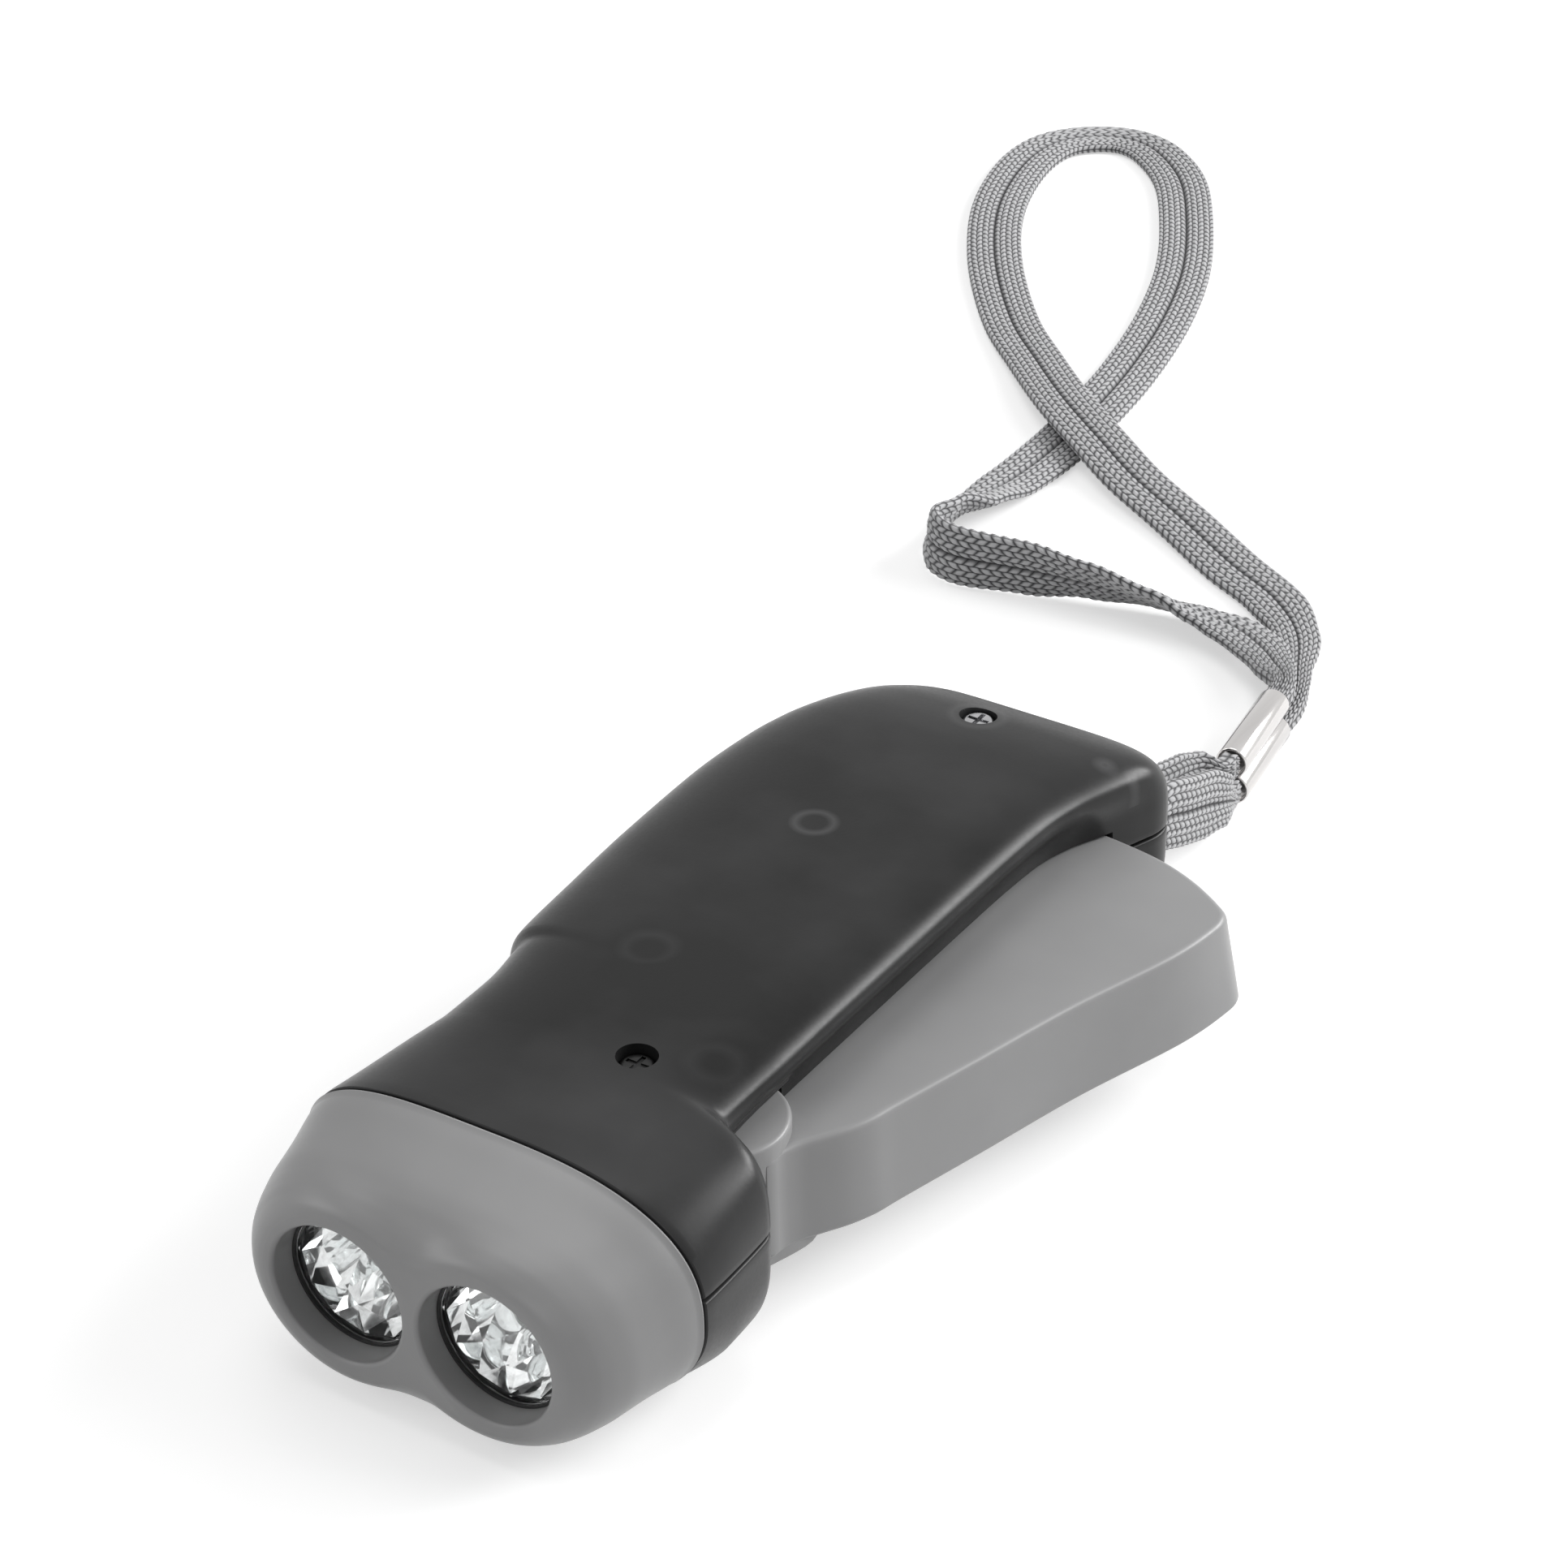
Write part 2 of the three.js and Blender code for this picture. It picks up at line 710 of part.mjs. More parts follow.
function lobeRing(size, waist, inset) {
  const half = lampSpacing / 2;
  const cornerRise = Math.sin(Math.atan2(lobeHeight, half));
  const ring = [];
  for (let i = 0; i < bezelSides; i += 1) {
    const angle = (2 * Math.PI * i) / bezelSides;
    const side = Math.abs(Math.cos(angle));
    const rise = Math.abs(Math.sin(angle));
    const steep = (side / lobeRadius) ** 2 + (rise / lobeHeight) ** 2;
    const toward = (half * side) / lobeRadius ** 2;
    const past = 1 - (half / lobeRadius) ** 2;
    const lobes = (toward + Math.sqrt(toward ** 2 + steep * past)) / steep;
    const oval = 1 / Math.hypot(side / (half + lobeRadius), rise / (lobeHeight - saddleDepth));
    const waisted = Math.max(oval, lobes);
    const straight = rise > cornerRise ? lobeHeight / rise : waisted;
    const reach = straight + (waisted - straight) * waist;
    const radius = reach * size - inset;
    ring.push([lampX + radius * Math.cos(angle), lampZ + radius * Math.sin(angle)]);
  }
  return ring;
}

function bezelRing([back, change, size, waist], inset) {
  const atSeam = caseRing(bezelStation, inset, bezelSides);
  const atRim = lobeRing(size, waist, inset);
  const y = frontY + back * bezelLength;
  return atSeam.map(([x, , z], i) => [
    x + (atRim[i][0] - x) * change,
    y,
    Math.max(inset, z + (atRim[i][1] - z) * change),
  ]);
}

const bezelBack = seamY - partGap;
const atY = (ring, y) => ring.map(([x, , z]) => [x, y, z]);

function bezelSkin(inset, fromShare) {
  const rings = bezelSectionShares
    .filter(([back]) => back >= fromShare)
    .map((section) => bezelRing(section, inset));
  const back = inset > 0 ? seamY + cutOverrun : bezelBack;
  return loft([atY(rings[0], back), ...rings.slice(1)]);
}

const boardFront = seamY + boardGap;
const lensFront = frontY + lensDepth;
const lensBack = lensFront + lensThickness;
const lensRadius = boreRadius - lensGap;
const reflectorBack = lensBack + partGap + reflectorDepth;
const lampPlaces = [
  ["left", lampX - lampSpacing / 2],
  ["right", lampX + lampSpacing / 2],
];

function bezel() {
  const tubeRadius = boreRadius + boreWall;
  const skin = bezelSkin(0, 0);
  const tongueOuter = caseRing(bezelStation, wall + partGap, bezelSides);
  const tongueInner = caseRing(bezelStation, wall + partGap + tongueWall, bezelSides);
  const tongueBack = seamY + tongueLength;
  const sleeve = loft([atY(tongueOuter, bezelBack - wall), atY(tongueOuter, tongueBack)]);
  const sleeveHole = loft([
    atY(tongueInner, bezelBack - wall - cutOverrun),
    atY(tongueInner, tongueBack + cutOverrun),
  ]);
  const collarRing = caseRing(bezelStation, wall / 2, bezelSides);
  const collar = loft([atY(collarRing, bezelBack - wall), atY(collarRing, bezelBack)]);
  const tongue = sleeve.intersect(clearCavity).add(collar).subtract(sleeveHole);
  let body = skin.subtract(bezelSkin(wall, bezelWallShare)).add(tongue);
  lampPlaces.forEach(([, x]) => {
    const tube = barrel(x, lampZ, tubeRadius, frontY + lensDepth / 2, bezelBack, lampSides);
    body = body.add(tube.intersect(skin));
  });
  lampPlaces.forEach(([, x]) => {
    const mouthBack = frontY + boreChamfer;
    const bore = barrel(x, lampZ, boreRadius, frontY - cutOverrun, boardFront, lampSides);
    const mouth = barrel(x, lampZ, boreRadius, frontY, mouthBack, lampSides, boreRadius + boreChamfer);
    body = body.subtract(bore).subtract(mouth);
  });
  return piece("front_bezel", body, grayPlastic);
}

// One lamp about its own axis, which is then placed in its lobe
function lamp([side, x]) {
  const lensProfile = [
    [0, lensBack],
    [lensRadius, lensBack],
    [lensRadius, lensFront + lensDome / 2],
    [lensRadius * 0.7, lensFront + lensDome / 4],
    [lensRadius * 0.35, lensFront - lensDome / 4],
    [0, lensFront - lensDome / 2],
  ];
  const throat = ledRadius + partGap;
  const inside = cupShares.map((share) => [
    throat + (lensRadius - reflectorWall - throat) * Math.sqrt(share),
    reflectorBack - share * reflectorDepth,
  ]);
  const outside = inside.map(([radius, y]) => [radius + reflectorWall, y]).reverse();
  const flangeBack = boardFront - partGap;
  const domeStart = flangeBack - ledLength + ledRadius;
  const dome = domeAngles.map((angle) => [
    ledRadius * Math.sin(radians(angle)),
    domeStart - ledRadius * Math.cos(radians(angle)),
  ]);
  const ledProfile = [
    ...dome,
    [ledRadius, flangeBack - ledFlange],
    [ledFlangeRadius, flangeBack - ledFlange],
    [ledFlangeRadius, flangeBack],
    [0, flangeBack],
  ];
  const set = new THREE.Group();
  set.add(
    piece(`lens_${side}`, turned(lensProfile, 24), lensClear),
    piece(`reflector_${side}`, turned([...inside, ...outside, inside[0]], 24), mirrorMetal),
    piece(`led_${side}`, turned(ledProfile, 16), lensClear),
  );
  set.position.set(x, 0, lampZ);
  return set;
}

// Circuit board behind the lamps, cut to the inside of the case
function board() {
  const back = boardFront + boardThickness;
  const half = boardWidth / 2;
  const low = midZ - boardHeight / 2;
  const plate = block(lampX - half, lampX + half, boardFront, back, low, low + boardHeight);
  const chip = block(0, rectifierWidth, 0, rectifierDepth, 0, rectifierHeight);
  const rectifier = piece("rectifier", chip, blackPlastic);
  rectifier.position.set(rectifierX, back + partGap, midZ - rectifierHeight / 2);
  return [piece("led_board", plate.intersect(clearCavity), boardGreen), rectifier];
}

// The lever, its sector and its spring are built about the pivot
const springBottom = sectorTop + partGap * 2;
const springTop = springBottom + springHeight;
const pinHole = () => post(0, 0, leverPinRadius + runningGap, 0, caseHeight, axleSides);

function radialBar(degrees, from, to, width, fromZ, toZ) {
  const bar = block(from, to, -width / 2, width / 2, fromZ, toZ);
  return bar.rotate([0, 0, degrees]);
}

const springLegs = (grow) => [
  radialBar(
    springLeverLeg,
    hubRadius / 2 + partGap,
    springLeverReach + grow,
    springWire + 2 * grow,
    springTop - springWire - grow,
    springTop + grow,
  ),
  radialBar(
    springCaseLeg,
    hubRadius / 2 + partGap,
    springCaseReach + grow,
    springWire + 2 * grow,
    springBottom - grow,
    springBottom + springWire + grow,
  ),
];

const driveLug = (grow) =>
  radialBar(
    lugAngle,
    hubRadius / 2,
    hubBlockRadius - lugInset + grow,
    lugWidth + 2 * grow,
    sectorZ - grow,
    sectorTop + grow,
  );

// Round of the hub between two directions
function hubRound(fromAngle, toAngle) {
  const round = [[0, 0]];
  for (let angle = fromAngle; angle <= toAngle; angle += hubBlockStep) {
    round.push([
      hubBlockRadius * Math.cos(radians(angle)),
      hubBlockRadius * Math.sin(radians(angle)),
    ]);
  }
  return round;
}

// The panel widens downwards; its rear end stays an arc about the pivot
function leverShell() {
  const scaleAt = (z) => 1 + (leverFlare * (leverTop - z)) / (leverTop - leverBottom);
  const arcSides = 96;
  const outline = leverOutlineShares.map(([x, y]) => [x * leverReach, y * leverReach]);
  const hollowOutline = outline.map(([x, y]) => [x - leverWall, y - leverRearWall]);
  const low = leverBottom + leverWall;
  const panel = prism(outline, leverBottom, leverTop, leverEdge, scaleAt);
  const hollow = prism(hollowOutline, low, leverTop - leverWall, 0, scaleAt);
  const inner = post(0, 0, leverReach - leverRearWall, 0, caseHeight, arcSides);
  const outer = post(0, 0, leverReach, 0, caseHeight, arcSides);
  return panel.intersect(outer).subtract(hollow.intersect(inner));
}

function lever() {
  const panel = leverShell();
  const edge = leverEdge / 2;
  const footTop = hubBottom + hubFootHeight;
  const beyond = hubFootShares.map(([x, y]) => [x * hubFootReach, y * hubFootReach]);
  const hubBlock = prism(hubRound(hubBlockFrom, hubBlockTo), hubBottom, hubTop, edge);
  const foot = prism([...hubRound(hubBlockFrom, hubFootTo), ...beyond], hubBottom, footTop, edge);
  const hub = post(0, 0, hubRadius, hubBottom, hubTop, lampSides).add(hubBlock).add(foot);
  const roomRadius = hubBlockRadius - leverWall;
  const room = post(0, 0, roomRadius, sectorZ - partGap, springTop + partGap, lampSides);
  const far = leverReach;
  const side = block(-far, 0, -hubRadius * 2, far, sectorZ - partGap, springTop + partGap);
  let body = panel.add(hub).subtract(room).subtract(side);
  [...springLegs(partGap), driveLug(partGap), pinHole()].forEach((cut) => {
    body = body.subtract(cut);
  });
  return piece("squeeze_lever", body, grayPlastic);
}

// Teeth of the sector on an arm from the pivot, with a lug that keys it to the lever
function sector() {
  const phase = radians(firstAngle);
  const before = -sectorTeethBefore;
  const teeth = toothOutline(sectorTeeth, coarseModule, phase, before, sectorTeethAfter, 3);
  const from = teeth[0][1];
  const to = teeth[teeth.length - 1][1];
  const neck = [
    [hubRadius * 0.9, to + sectorFlare],
    [hubRadius * 0.9, from - sectorFlare],
  ];
  const arm = prism(polar([...teeth, ...neck]), sectorZ, sectorTop);
  const ring = post(0, 0, hubRadius, sectorZ, sectorTop, 32);
  return piece("sector_gear", arm.add(ring).add(driveLug(0)).subtract(pinHole()), gearPlastic);
}

function spring() {
  const outer = post(0, 0, hubRadius - partGap, springBottom, springTop, 24);
  const inner = post(0, 0, hubRadius - partGap - springWire, 0, caseHeight, 24);
  const [leverLeg, caseLeg] = springLegs(0);
  return piece("lever_spring", outer.add(leverLeg).add(caseLeg).subtract(inner), steel);
}

function leverSet() {
  const set = new THREE.Group();
  set.add(lever(), sector(), spring());
  set.position.set(pivotX, pivotY, 0);
  return set;
}

// Axles
const axleNames = ["lever_pin", "axle_first", "axle_idler", "axle_rotor"];

function axlePins() {
  return axles.map(([x, y, radius, , , end], i) => {
    const rod = post(0, 0, radius, end, caseHeight - end, axleSides);
    const pin = piece(axleNames[i], rod, steel);
    pin.position.set(x, y, 0);
    return pin;
  });
}

// Gears, each about its own axle and then turned into mesh
const bored = (body) =>
  body.subtract(post(0, 0, axleRadius + runningGap, 0, caseHeight, axleSides));

function wheel(teeth, size, fromZ, toZ, flankPoints) {
  return prism(polar(toothOutline(teeth, size, 0, 0, teeth - 1, flankPoints)), fromZ, toZ);
}

function gearPiece(name, body, x, y, phase) {
  const made = piece(name, bored(body), gearPlastic);
  made.position.set(x, y, 0);
  made.rotation.z = phase;
  return made;
}

// A wheel whose web is thinned on the upper face between hub and rim
function webbedWheel(teeth, size, fromZ, toZ) {
  const rim = (size * teeth) / 2 - dedendumShare * size - gearHubWall;
  const hub = axleRadius + runningGap + gearHubWall;
  const groove = post(0, 0, rim, toZ - webDepth, toZ + cutOverrun, 32);
  const core = post(0, 0, hub, fromZ, toZ + cutOverrun, 24);
  return wheel(teeth, size, fromZ, toZ, 1).subtract(groove.subtract(core));
}

const phases = {
  firstPinion: meshPhase(
    sectorTeeth,
    radians(firstAngle),
    radians(firstAngle),
    firstPinionTeeth,
  ),
  idlerPinion: meshPhase(firstGearTeeth, 0, radians(idlerAngle), idlerPinionTeeth),
  rotorPinion: meshPhase(idlerGearTeeth, 0, radians(rotorAngle), rotorPinionTeeth),
};

function train() {
  const firstPinion = wheel(firstPinionTeeth, coarseModule, sectorZ, sectorTop, 2);
  const firstGear = webbedWheel(firstGearTeeth, fineModule, firstGearZ, firstGearTop);
  const idlerPinion = wheel(idlerPinionTeeth, fineModule, idlerPinionZ, idlerPinionTop, 2);
  const idlerGear = webbedWheel(idlerGearTeeth, fineModule, idlerGearZ, idlerGearTop);
  const rotorPinion = wheel(rotorPinionTeeth, fineModule, rotorPinionZ, rotorPinionTop, 2);
  return [
    gearPiece("first_pinion", firstPinion, firstX, firstY, phases.firstPinion),
    gearPiece("first_gear", firstGear, firstX, firstY, 0),
    gearPiece("idler_pinion", idlerPinion, idlerX, idlerY, phases.idlerPinion),
    gearPiece("idler_gear", idlerGear, idlerX, idlerY, 0),
    gearPiece("rotor_pinion", rotorPinion, rotorX, rotorY, phases.rotorPinion),
  ];
}

// Rotor and stator about the rotor's axle
function dynamo() {
  const sleeve = axleRadius + runningGap + magnetSleeve;
  const flywheelTop = flywheelZ + flywheelThickness;
  const disc = post(0, 0, flywheelRadius, flywheelZ, flywheelTop, lampSides);
  const discHub = post(0, 0, sleeve, flywheelZ, magnetZ - partGap, axleSides);
  const magnet = post(0, 0, magnetRadius, magnetZ, magnetZ + magnetHeight, lampSides);
  const poleRadius = magnetRadius + poleGap;
  const outerX = poleRadius + legWidth;
  const barFrom = stackBack - backBar;
  const stackTop = stackZ + stackHeight;
  const outer = block(-outerX, outerX, -poleRadius / 2, stackBack, stackZ, stackTop);
  const between = block(-poleRadius, poleRadius, -poleRadius, barFrom, 0, caseHeight);
  const half = coilLength / 2;
  const grown = (by) => [
    barFrom - by,
    stackBack + by,
    stackZ - by,
    stackTop + by,
  ];
  const turns = block(-half, half, ...grown(coilWall));
  const room = block(-outerX, outerX, ...grown(partGap));
  const leftCheek = block(-half, -half + coilCheek, ...grown(coilWall + coilFlange));
  const rightCheek = block(half - coilCheek, half, ...grown(coilWall + coilFlange));
  const wound = turns.add(leftCheek).add(rightCheek).subtract(room);
  const set = new THREE.Group();
  set.add(
    piece("flywheel", bored(disc.add(discHub)), darkSteel),
    piece("rotor_magnet", bored(magnet), magnetGray),
    piece("stator_core", outer.subtract(between), darkSteel),
    piece("stator_coil", wound, copper),
  );
  set.position.set(rotorX, rotorY, 0);
  return set;
}

function screw(name, [x, y]) {
  const headZ = caseHeight - counterboreDepth + partGap;
  const top = headZ + screwHeadHeight;
  const head = post(0, 0, screwHeadRadius, headZ, top, axleSides, screwHeadRadius - screwHeadTaper);
  const shaft = post(0, 0, screwRadius, headZ - screwLength, top - driveDepth, axleSides);
  const half = driveWidth / 2;
  const slot = block(-driveReach, driveReach, -half, half, top - driveDepth, top + cutOverrun);
  const body = head.add(shaft).subtract(slot).subtract(slot.rotate([0, 0, 90]));
  const made = piece(name, body, steel);
  made.position.set(x, y, 0);
  return made;
}

function cells() {
  const step = cellHeight + partGap;
  const set = new THREE.Group();
  [0, 1, 2].forEach((place) => {
    const can = post(0, 0, cellRadius, cellRim, cellHeight, 32);
    const cap = post(0, 0, cellRadius - cellRim, 0, cellHeight / 2, 32);
    const cell = piece(`button_cell_${place + 1}`, can.add(cap), steel);
    cell.position.z = cellZ + place * step;
    set.add(cell);
  });
  const plate = () => post(0, 0, contactRadius, 0, contactThickness, 24);
  const lower = piece("cell_contact_lower", plate(), steel);
  lower.position.z = cellZ - partGap - contactThickness;
  const upper = piece("cell_contact_upper", plate(), steel);
  upper.position.z = cellZ + 3 * step;
  set.add(lower, upper);
  set.position.set(cellX, cellY, 0);
  return set;
}

// Slide switch: a knob outside, a neck through the window and a plate inside
function switchSlider() {
  const rest = -switchTravel / 2;
  const skinX = -switchSkinShare * caseWidth;
  const half = switchLength / 2;
  const neckHalf = half - switchTravel / 2 - partGap * 3;
  const outside = block(
    skinX - partGap - switchProud,
    skinX - partGap,
    -half + partGap,
    half - partGap,
    -switchHeight / 2,
    switchHeight / 2,
  );
  const neck = block(skinX - partGap, skinX + switchInset, -neckHalf, neckHalf, -switchNeck, switchNeck);
  const inside = block(
    skinX + switchInset - switchProud,
    skinX + switchInset,
    -half + switchTravel / 2,
    half - switchTravel / 2,
    -switchHeight / 2,
    switchHeight / 2,
  );
  const made = piece("switch_slider", outside.add(neck).add(inside), grayPlastic);
  made.position.set(0, switchY + rest, midZ);
  return made;
}

// Pin that the band goes round, between the two shells
function lanyardPin() {
  const rod = post(lanyardX, lanyardY, lanyardRadius, 0, caseHeight, axleSides);
  return piece("lanyard_pin", rod.intersect(clearCavity), steel);
}

// Two crimped barrels side by side, one up against the other
function ferrule() {
  const one = () => {
    const tube = barrel(0, 0, ferruleRadius, 0, ferruleLength, axleSides);
    const mouthRadius = ferruleRadius - barrelMouth;
    const near = barrel(0, 0, mouthRadius, -cutOverrun, barrelMouthDepth, axleSides);
    const far = barrel(
      0,
      0,
      mouthRadius,
      ferruleLength - barrelMouthDepth,
      ferruleLength + cutOverrun,
      axleSides,
    );
    return tube.subtract(near).subtract(far);
  };
  const across = -barrelSpacing * Math.cos(radians(ferruleTilt));
  const upward = barrelSpacing * Math.sin(radians(ferruleTilt));
  const made = piece("strap_ferrule", one().add(one().translate([across, 0, upward])), mirrorMetal);
  made.position.set(ferruleX, ferruleY, ferruleRadius);
  made.rotation.z = radians(ferruleTurn - 90);
  return made;
}

// Flat band through route points of x, y, z, tilt in degrees, width and thickness
function band(name, route, stepsPerPoint) {
  const curve = new THREE.CatmullRomCurve3(
    route.map(([x, y, z]) => new THREE.Vector3(x, y, z)),
    false,
    "centripetal",
  );
  const spans = route.length - 1;
  const steps = spans * stepsPerPoint;
  const up = new THREE.Vector3(0, 0, 1);
  const rings = [];
  for (let i = 0; i <= steps; i += 1) {
    const at = Math.min(spans - 1, Math.floor(i / stepsPerPoint));
    const part = i / stepsPerPoint - at;
    const [tilt, width, thickness] = [3, 4, 5].map(
      (k) => route[at][k] + (route[at + 1][k] - route[at][k]) * part,
    );
    const centre = curve.getPoint(i / steps);
    const along = curve.getTangent(i / steps);
    const side = new THREE.Vector3().crossVectors(up, along).normalize();
    const over = new THREE.Vector3().crossVectors(along, side).normalize();
    const wide = side.clone().multiplyScalar(Math.cos(radians(tilt)));
    wide.addScaledVector(over, Math.sin(radians(tilt)));
    const thick = new THREE.Vector3().crossVectors(along, wide).normalize();
    rings.push(
      bandSectionShares.map(([a, b]) => {
        const p = centre.clone();
        p.addScaledVector(wide, (a * width) / 2);
        p.addScaledVector(thick, (b * thickness) / 2);
        return [p.x, p.y, Math.max(floorGap, p.z)];
      }),
    );
  }
  return piece(name, loft(rings), bandCloth);
}

const flat = [0, bandWidth, bandThickness];
const onEdge = [90, bandWidth, bandThickness];
const gathered = [0, bandRound, bandRound - bandThickness / 2];
const gatheredOnEdge = [90, bandRound, bandRound - bandThickness / 2];
const gatheredOver = [180, bandRound, bandRound - bandThickness / 2];

// Short loop: from the upper barrel, round the pin in the case and back to the lower barrel
const neckRoute = [
  [11.96, 78.01, 4.98, ...gatheredOnEdge],
  [12.1, 75.8, 5.15, ...gatheredOnEdge],
  [10.9, 71.5, 6.4, 90, 6.2, 1.5],
  [11.1, 66.0, 7.8, ...onEdge],
  [11.2, 60.0, 9.6, ...onEdge],
  [11.25, 54.5, 11.4, ...onEdge],
  [11.25, 50.0, 12.5, ...onEdge],
  [11.25, 47.5, 12.5, ...onEdge],
  [11.91, 45.91, 12.5, ...onEdge],
  [13.5, 45.25, 12.5, ...onEdge],
  [15.09, 45.91, 12.5, ...onEdge],
  [15.75, 47.5, 12.5, ...onEdge],
  [15.75, 50.0, 12.5, ...onEdge],
  [15.75, 54.5, 12.0, ...onEdge],
  [15.6, 60.0, 9.8, ...onEdge],
  [15.1, 66.0, 7.3, ...onEdge],
  [14.5, 71.5, 4.7, 90, 6.2, 1.5],
  [12.75, 75.8, 2.05, ...gatheredOnEdge],
  [12.29, 78.05, 1.8, ...gatheredOnEdge],
];

// Long loop: from the lower barrel out along the ground, over itself once and back on edge
const strapRoute = [
  [10.41, 92.53, 1.8, ...gathered],
  [9.7, 98.0, 1.65, ...gathered],
  [6.6, 105.3, 1.4, 10, 3.8, 2],
  [2.8, 113.1, 1.1, 5, 6, 1.6],
  [-2.9, 119.4, 0.9, 0, 7.6, bandThickness],
  [-11.4, 124.7, 0.8, ...flat],
  [-21.2, 131.0, 1.2, ...flat],
  [-30.8, 136.4, 2.0, ...flat],
  [-38.2, 141.7, 2.6, ...flat],
  [-47.6, 149.5, 2.5, ...flat],
  [-57.4, 159.7, 1.4, ...flat],
  [-66.5, 169.4, 0.8, ...flat],
  [-78.9, 186.6, 0.8, ...flat],
  [-87.2, 203.0, 0.8, ...flat],
  [-91.0, 218.5, 0.8, ...flat],
  [-90.3, 225.5, 0.8, ...flat],
  [-87.1, 229.6, 0.8, ...flat],
  [-83.0, 231.5, 0.8, ...flat],
  [-78.9, 230.9, 0.8, ...flat],
  [-74.4, 227.9, 0.8, ...flat],
  [-69.0, 222.2, 0.8, ...flat],
  [-62.4, 211.3, 0.8, ...flat],
  [-55.0, 196.0, 0.8, ...flat],
  [-49.9, 180.5, 0.8, ...flat],
  [-46.4, 164.4, 0.8, ...flat],
  [-44.8, 152.5, 0.8, ...flat],
  [-43.8, 140.0, 0.8, ...flat],
  [-43.9, 129.5, 0.95, 4, bandWidth, bandThickness],
  [-43.8, 120.3, 2.2, 22, bandWidth, bandThickness],
  [-43.3, 112.0, 3.8, 60, bandWidth, bandThickness],
  [-42.0, 106.8, 4.1, 86, bandWidth, bandThickness],
  [-38.2, 104.7, 4.1, 90, bandWidth, bandThickness],
  [-29.3, 106.1, 4.1, 100, bandWidth, bandThickness],
  [-21.6, 107.7, 3.9, 122, bandWidth, bandThickness],
  [-13.7, 109.0, 3.2, 141, bandWidth, bandThickness],
  [-7.7, 109.4, 2.5, 160, bandWidth, bandThickness],
  [-3.1, 108.5, 2.5, 170, bandWidth, bandThickness],
  [1.3, 105.7, 3.0, 176, 7, bandThickness],
  [5.6, 101.2, 3.9, 180, 5.2, 1.8],
  [9.2, 96.4, 4.85, ...gatheredOver],
  [10.08, 92.49, 4.98, ...gatheredOver],
];

const torch = new THREE.Group();
torch.add(...shells(), bezel(), ...lampPlaces.map(lamp), ...board(), leverSet(), ...axlePins());
torch.add(...train(), dynamo(), cells(), switchSlider(), lanyardPin(), ferrule());
torch.add(screw("shell_screw_front", screwPlaces[0]), screw("shell_screw_rear", screwPlaces[1]));
torch.add(band("strap_neck", neckRoute, 2), band("wrist_strap", strapRoute, 2));
export default torch;
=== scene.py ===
import bmesh
import bpy
import math
import random
from mathutils import Matrix, Vector


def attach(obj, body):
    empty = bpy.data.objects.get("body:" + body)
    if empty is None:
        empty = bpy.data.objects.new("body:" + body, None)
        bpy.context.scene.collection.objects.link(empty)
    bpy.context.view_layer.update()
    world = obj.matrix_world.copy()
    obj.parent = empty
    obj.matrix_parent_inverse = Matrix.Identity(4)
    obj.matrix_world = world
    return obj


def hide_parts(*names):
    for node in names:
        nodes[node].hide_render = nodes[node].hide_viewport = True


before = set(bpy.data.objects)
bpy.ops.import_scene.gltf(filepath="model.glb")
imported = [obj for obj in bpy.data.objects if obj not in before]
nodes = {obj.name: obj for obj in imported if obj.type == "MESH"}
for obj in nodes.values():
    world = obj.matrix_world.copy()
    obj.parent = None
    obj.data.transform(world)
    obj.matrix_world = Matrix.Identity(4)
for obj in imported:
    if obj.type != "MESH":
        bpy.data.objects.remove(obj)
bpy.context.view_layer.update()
MM = 0.001

# The photograph's view: a long lens above and in front of the torch's right side. The torch lies
# on a pale table under soft studio light from above and from both sides.
camera_place = Vector((175.324, -271.819, 237.706)) * MM
camera_turn = math.radians(32.15074295)
camera_rise = math.radians(31.54431509)
camera_lens = 96.0
studio_white = (1.0, 1.0, 1.0, 1.0)
table_colour = (0.68, 0.68, 0.68, 1.0)
table_radius = 6
table_glow = 0.5
sky_strength = 0.32
aim_point = Vector((0, 0.03, 0))


def calc(tree, operation, *values):
    """A Math node of a value or a socket in each place; gives its result."""
    node = tree.nodes.new("ShaderNodeMath")
    node.operation = operation
    for place, value in enumerate(values):
        if isinstance(value, bpy.types.NodeSocket):
            tree.links.new(value, node.inputs[place])
        else:
            node.inputs[place].default_value = value
    return node.outputs[0]


def seen_directly(tree):
    """1 for what the camera, a reflection or a clear piece sees, 0 for the light that falls."""
    path = tree.nodes.new("ShaderNodeLightPath")
    seen = calc(tree, "MAXIMUM", path.outputs["Is Camera Ray"], path.outputs["Is Glossy Ray"])
    return calc(tree, "MAXIMUM", seen, path.outputs["Is Transmission Ray"])


def new_paint(name):
    """A material, its nodes and its main shader."""
    paint = bpy.data.materials.new(name)
    paint.use_nodes = True
    tree = paint.node_tree
    return paint, tree, tree.nodes["Principled BSDF"]


def set_camera():
    back = Vector((
        math.sin(camera_turn) * math.cos(camera_rise),
        -math.cos(camera_turn) * math.cos(camera_rise),
        math.sin(camera_rise),
    ))
    right = Vector((math.cos(camera_turn), math.sin(camera_turn), 0))
    up = back.cross(right)
    lens = bpy.data.cameras.new("camera")
    lens.sensor_width = 36
    lens.lens = camera_lens
    lens.clip_start = 0.01
    camera = bpy.data.objects.new("camera", lens)
    turned = Matrix((right, up, back)).transposed().to_4x4()
    camera.matrix_world = Matrix.Translation(camera_place) @ turned
    bpy.context.scene.collection.objects.link(camera)
    bpy.context.scene.camera = camera


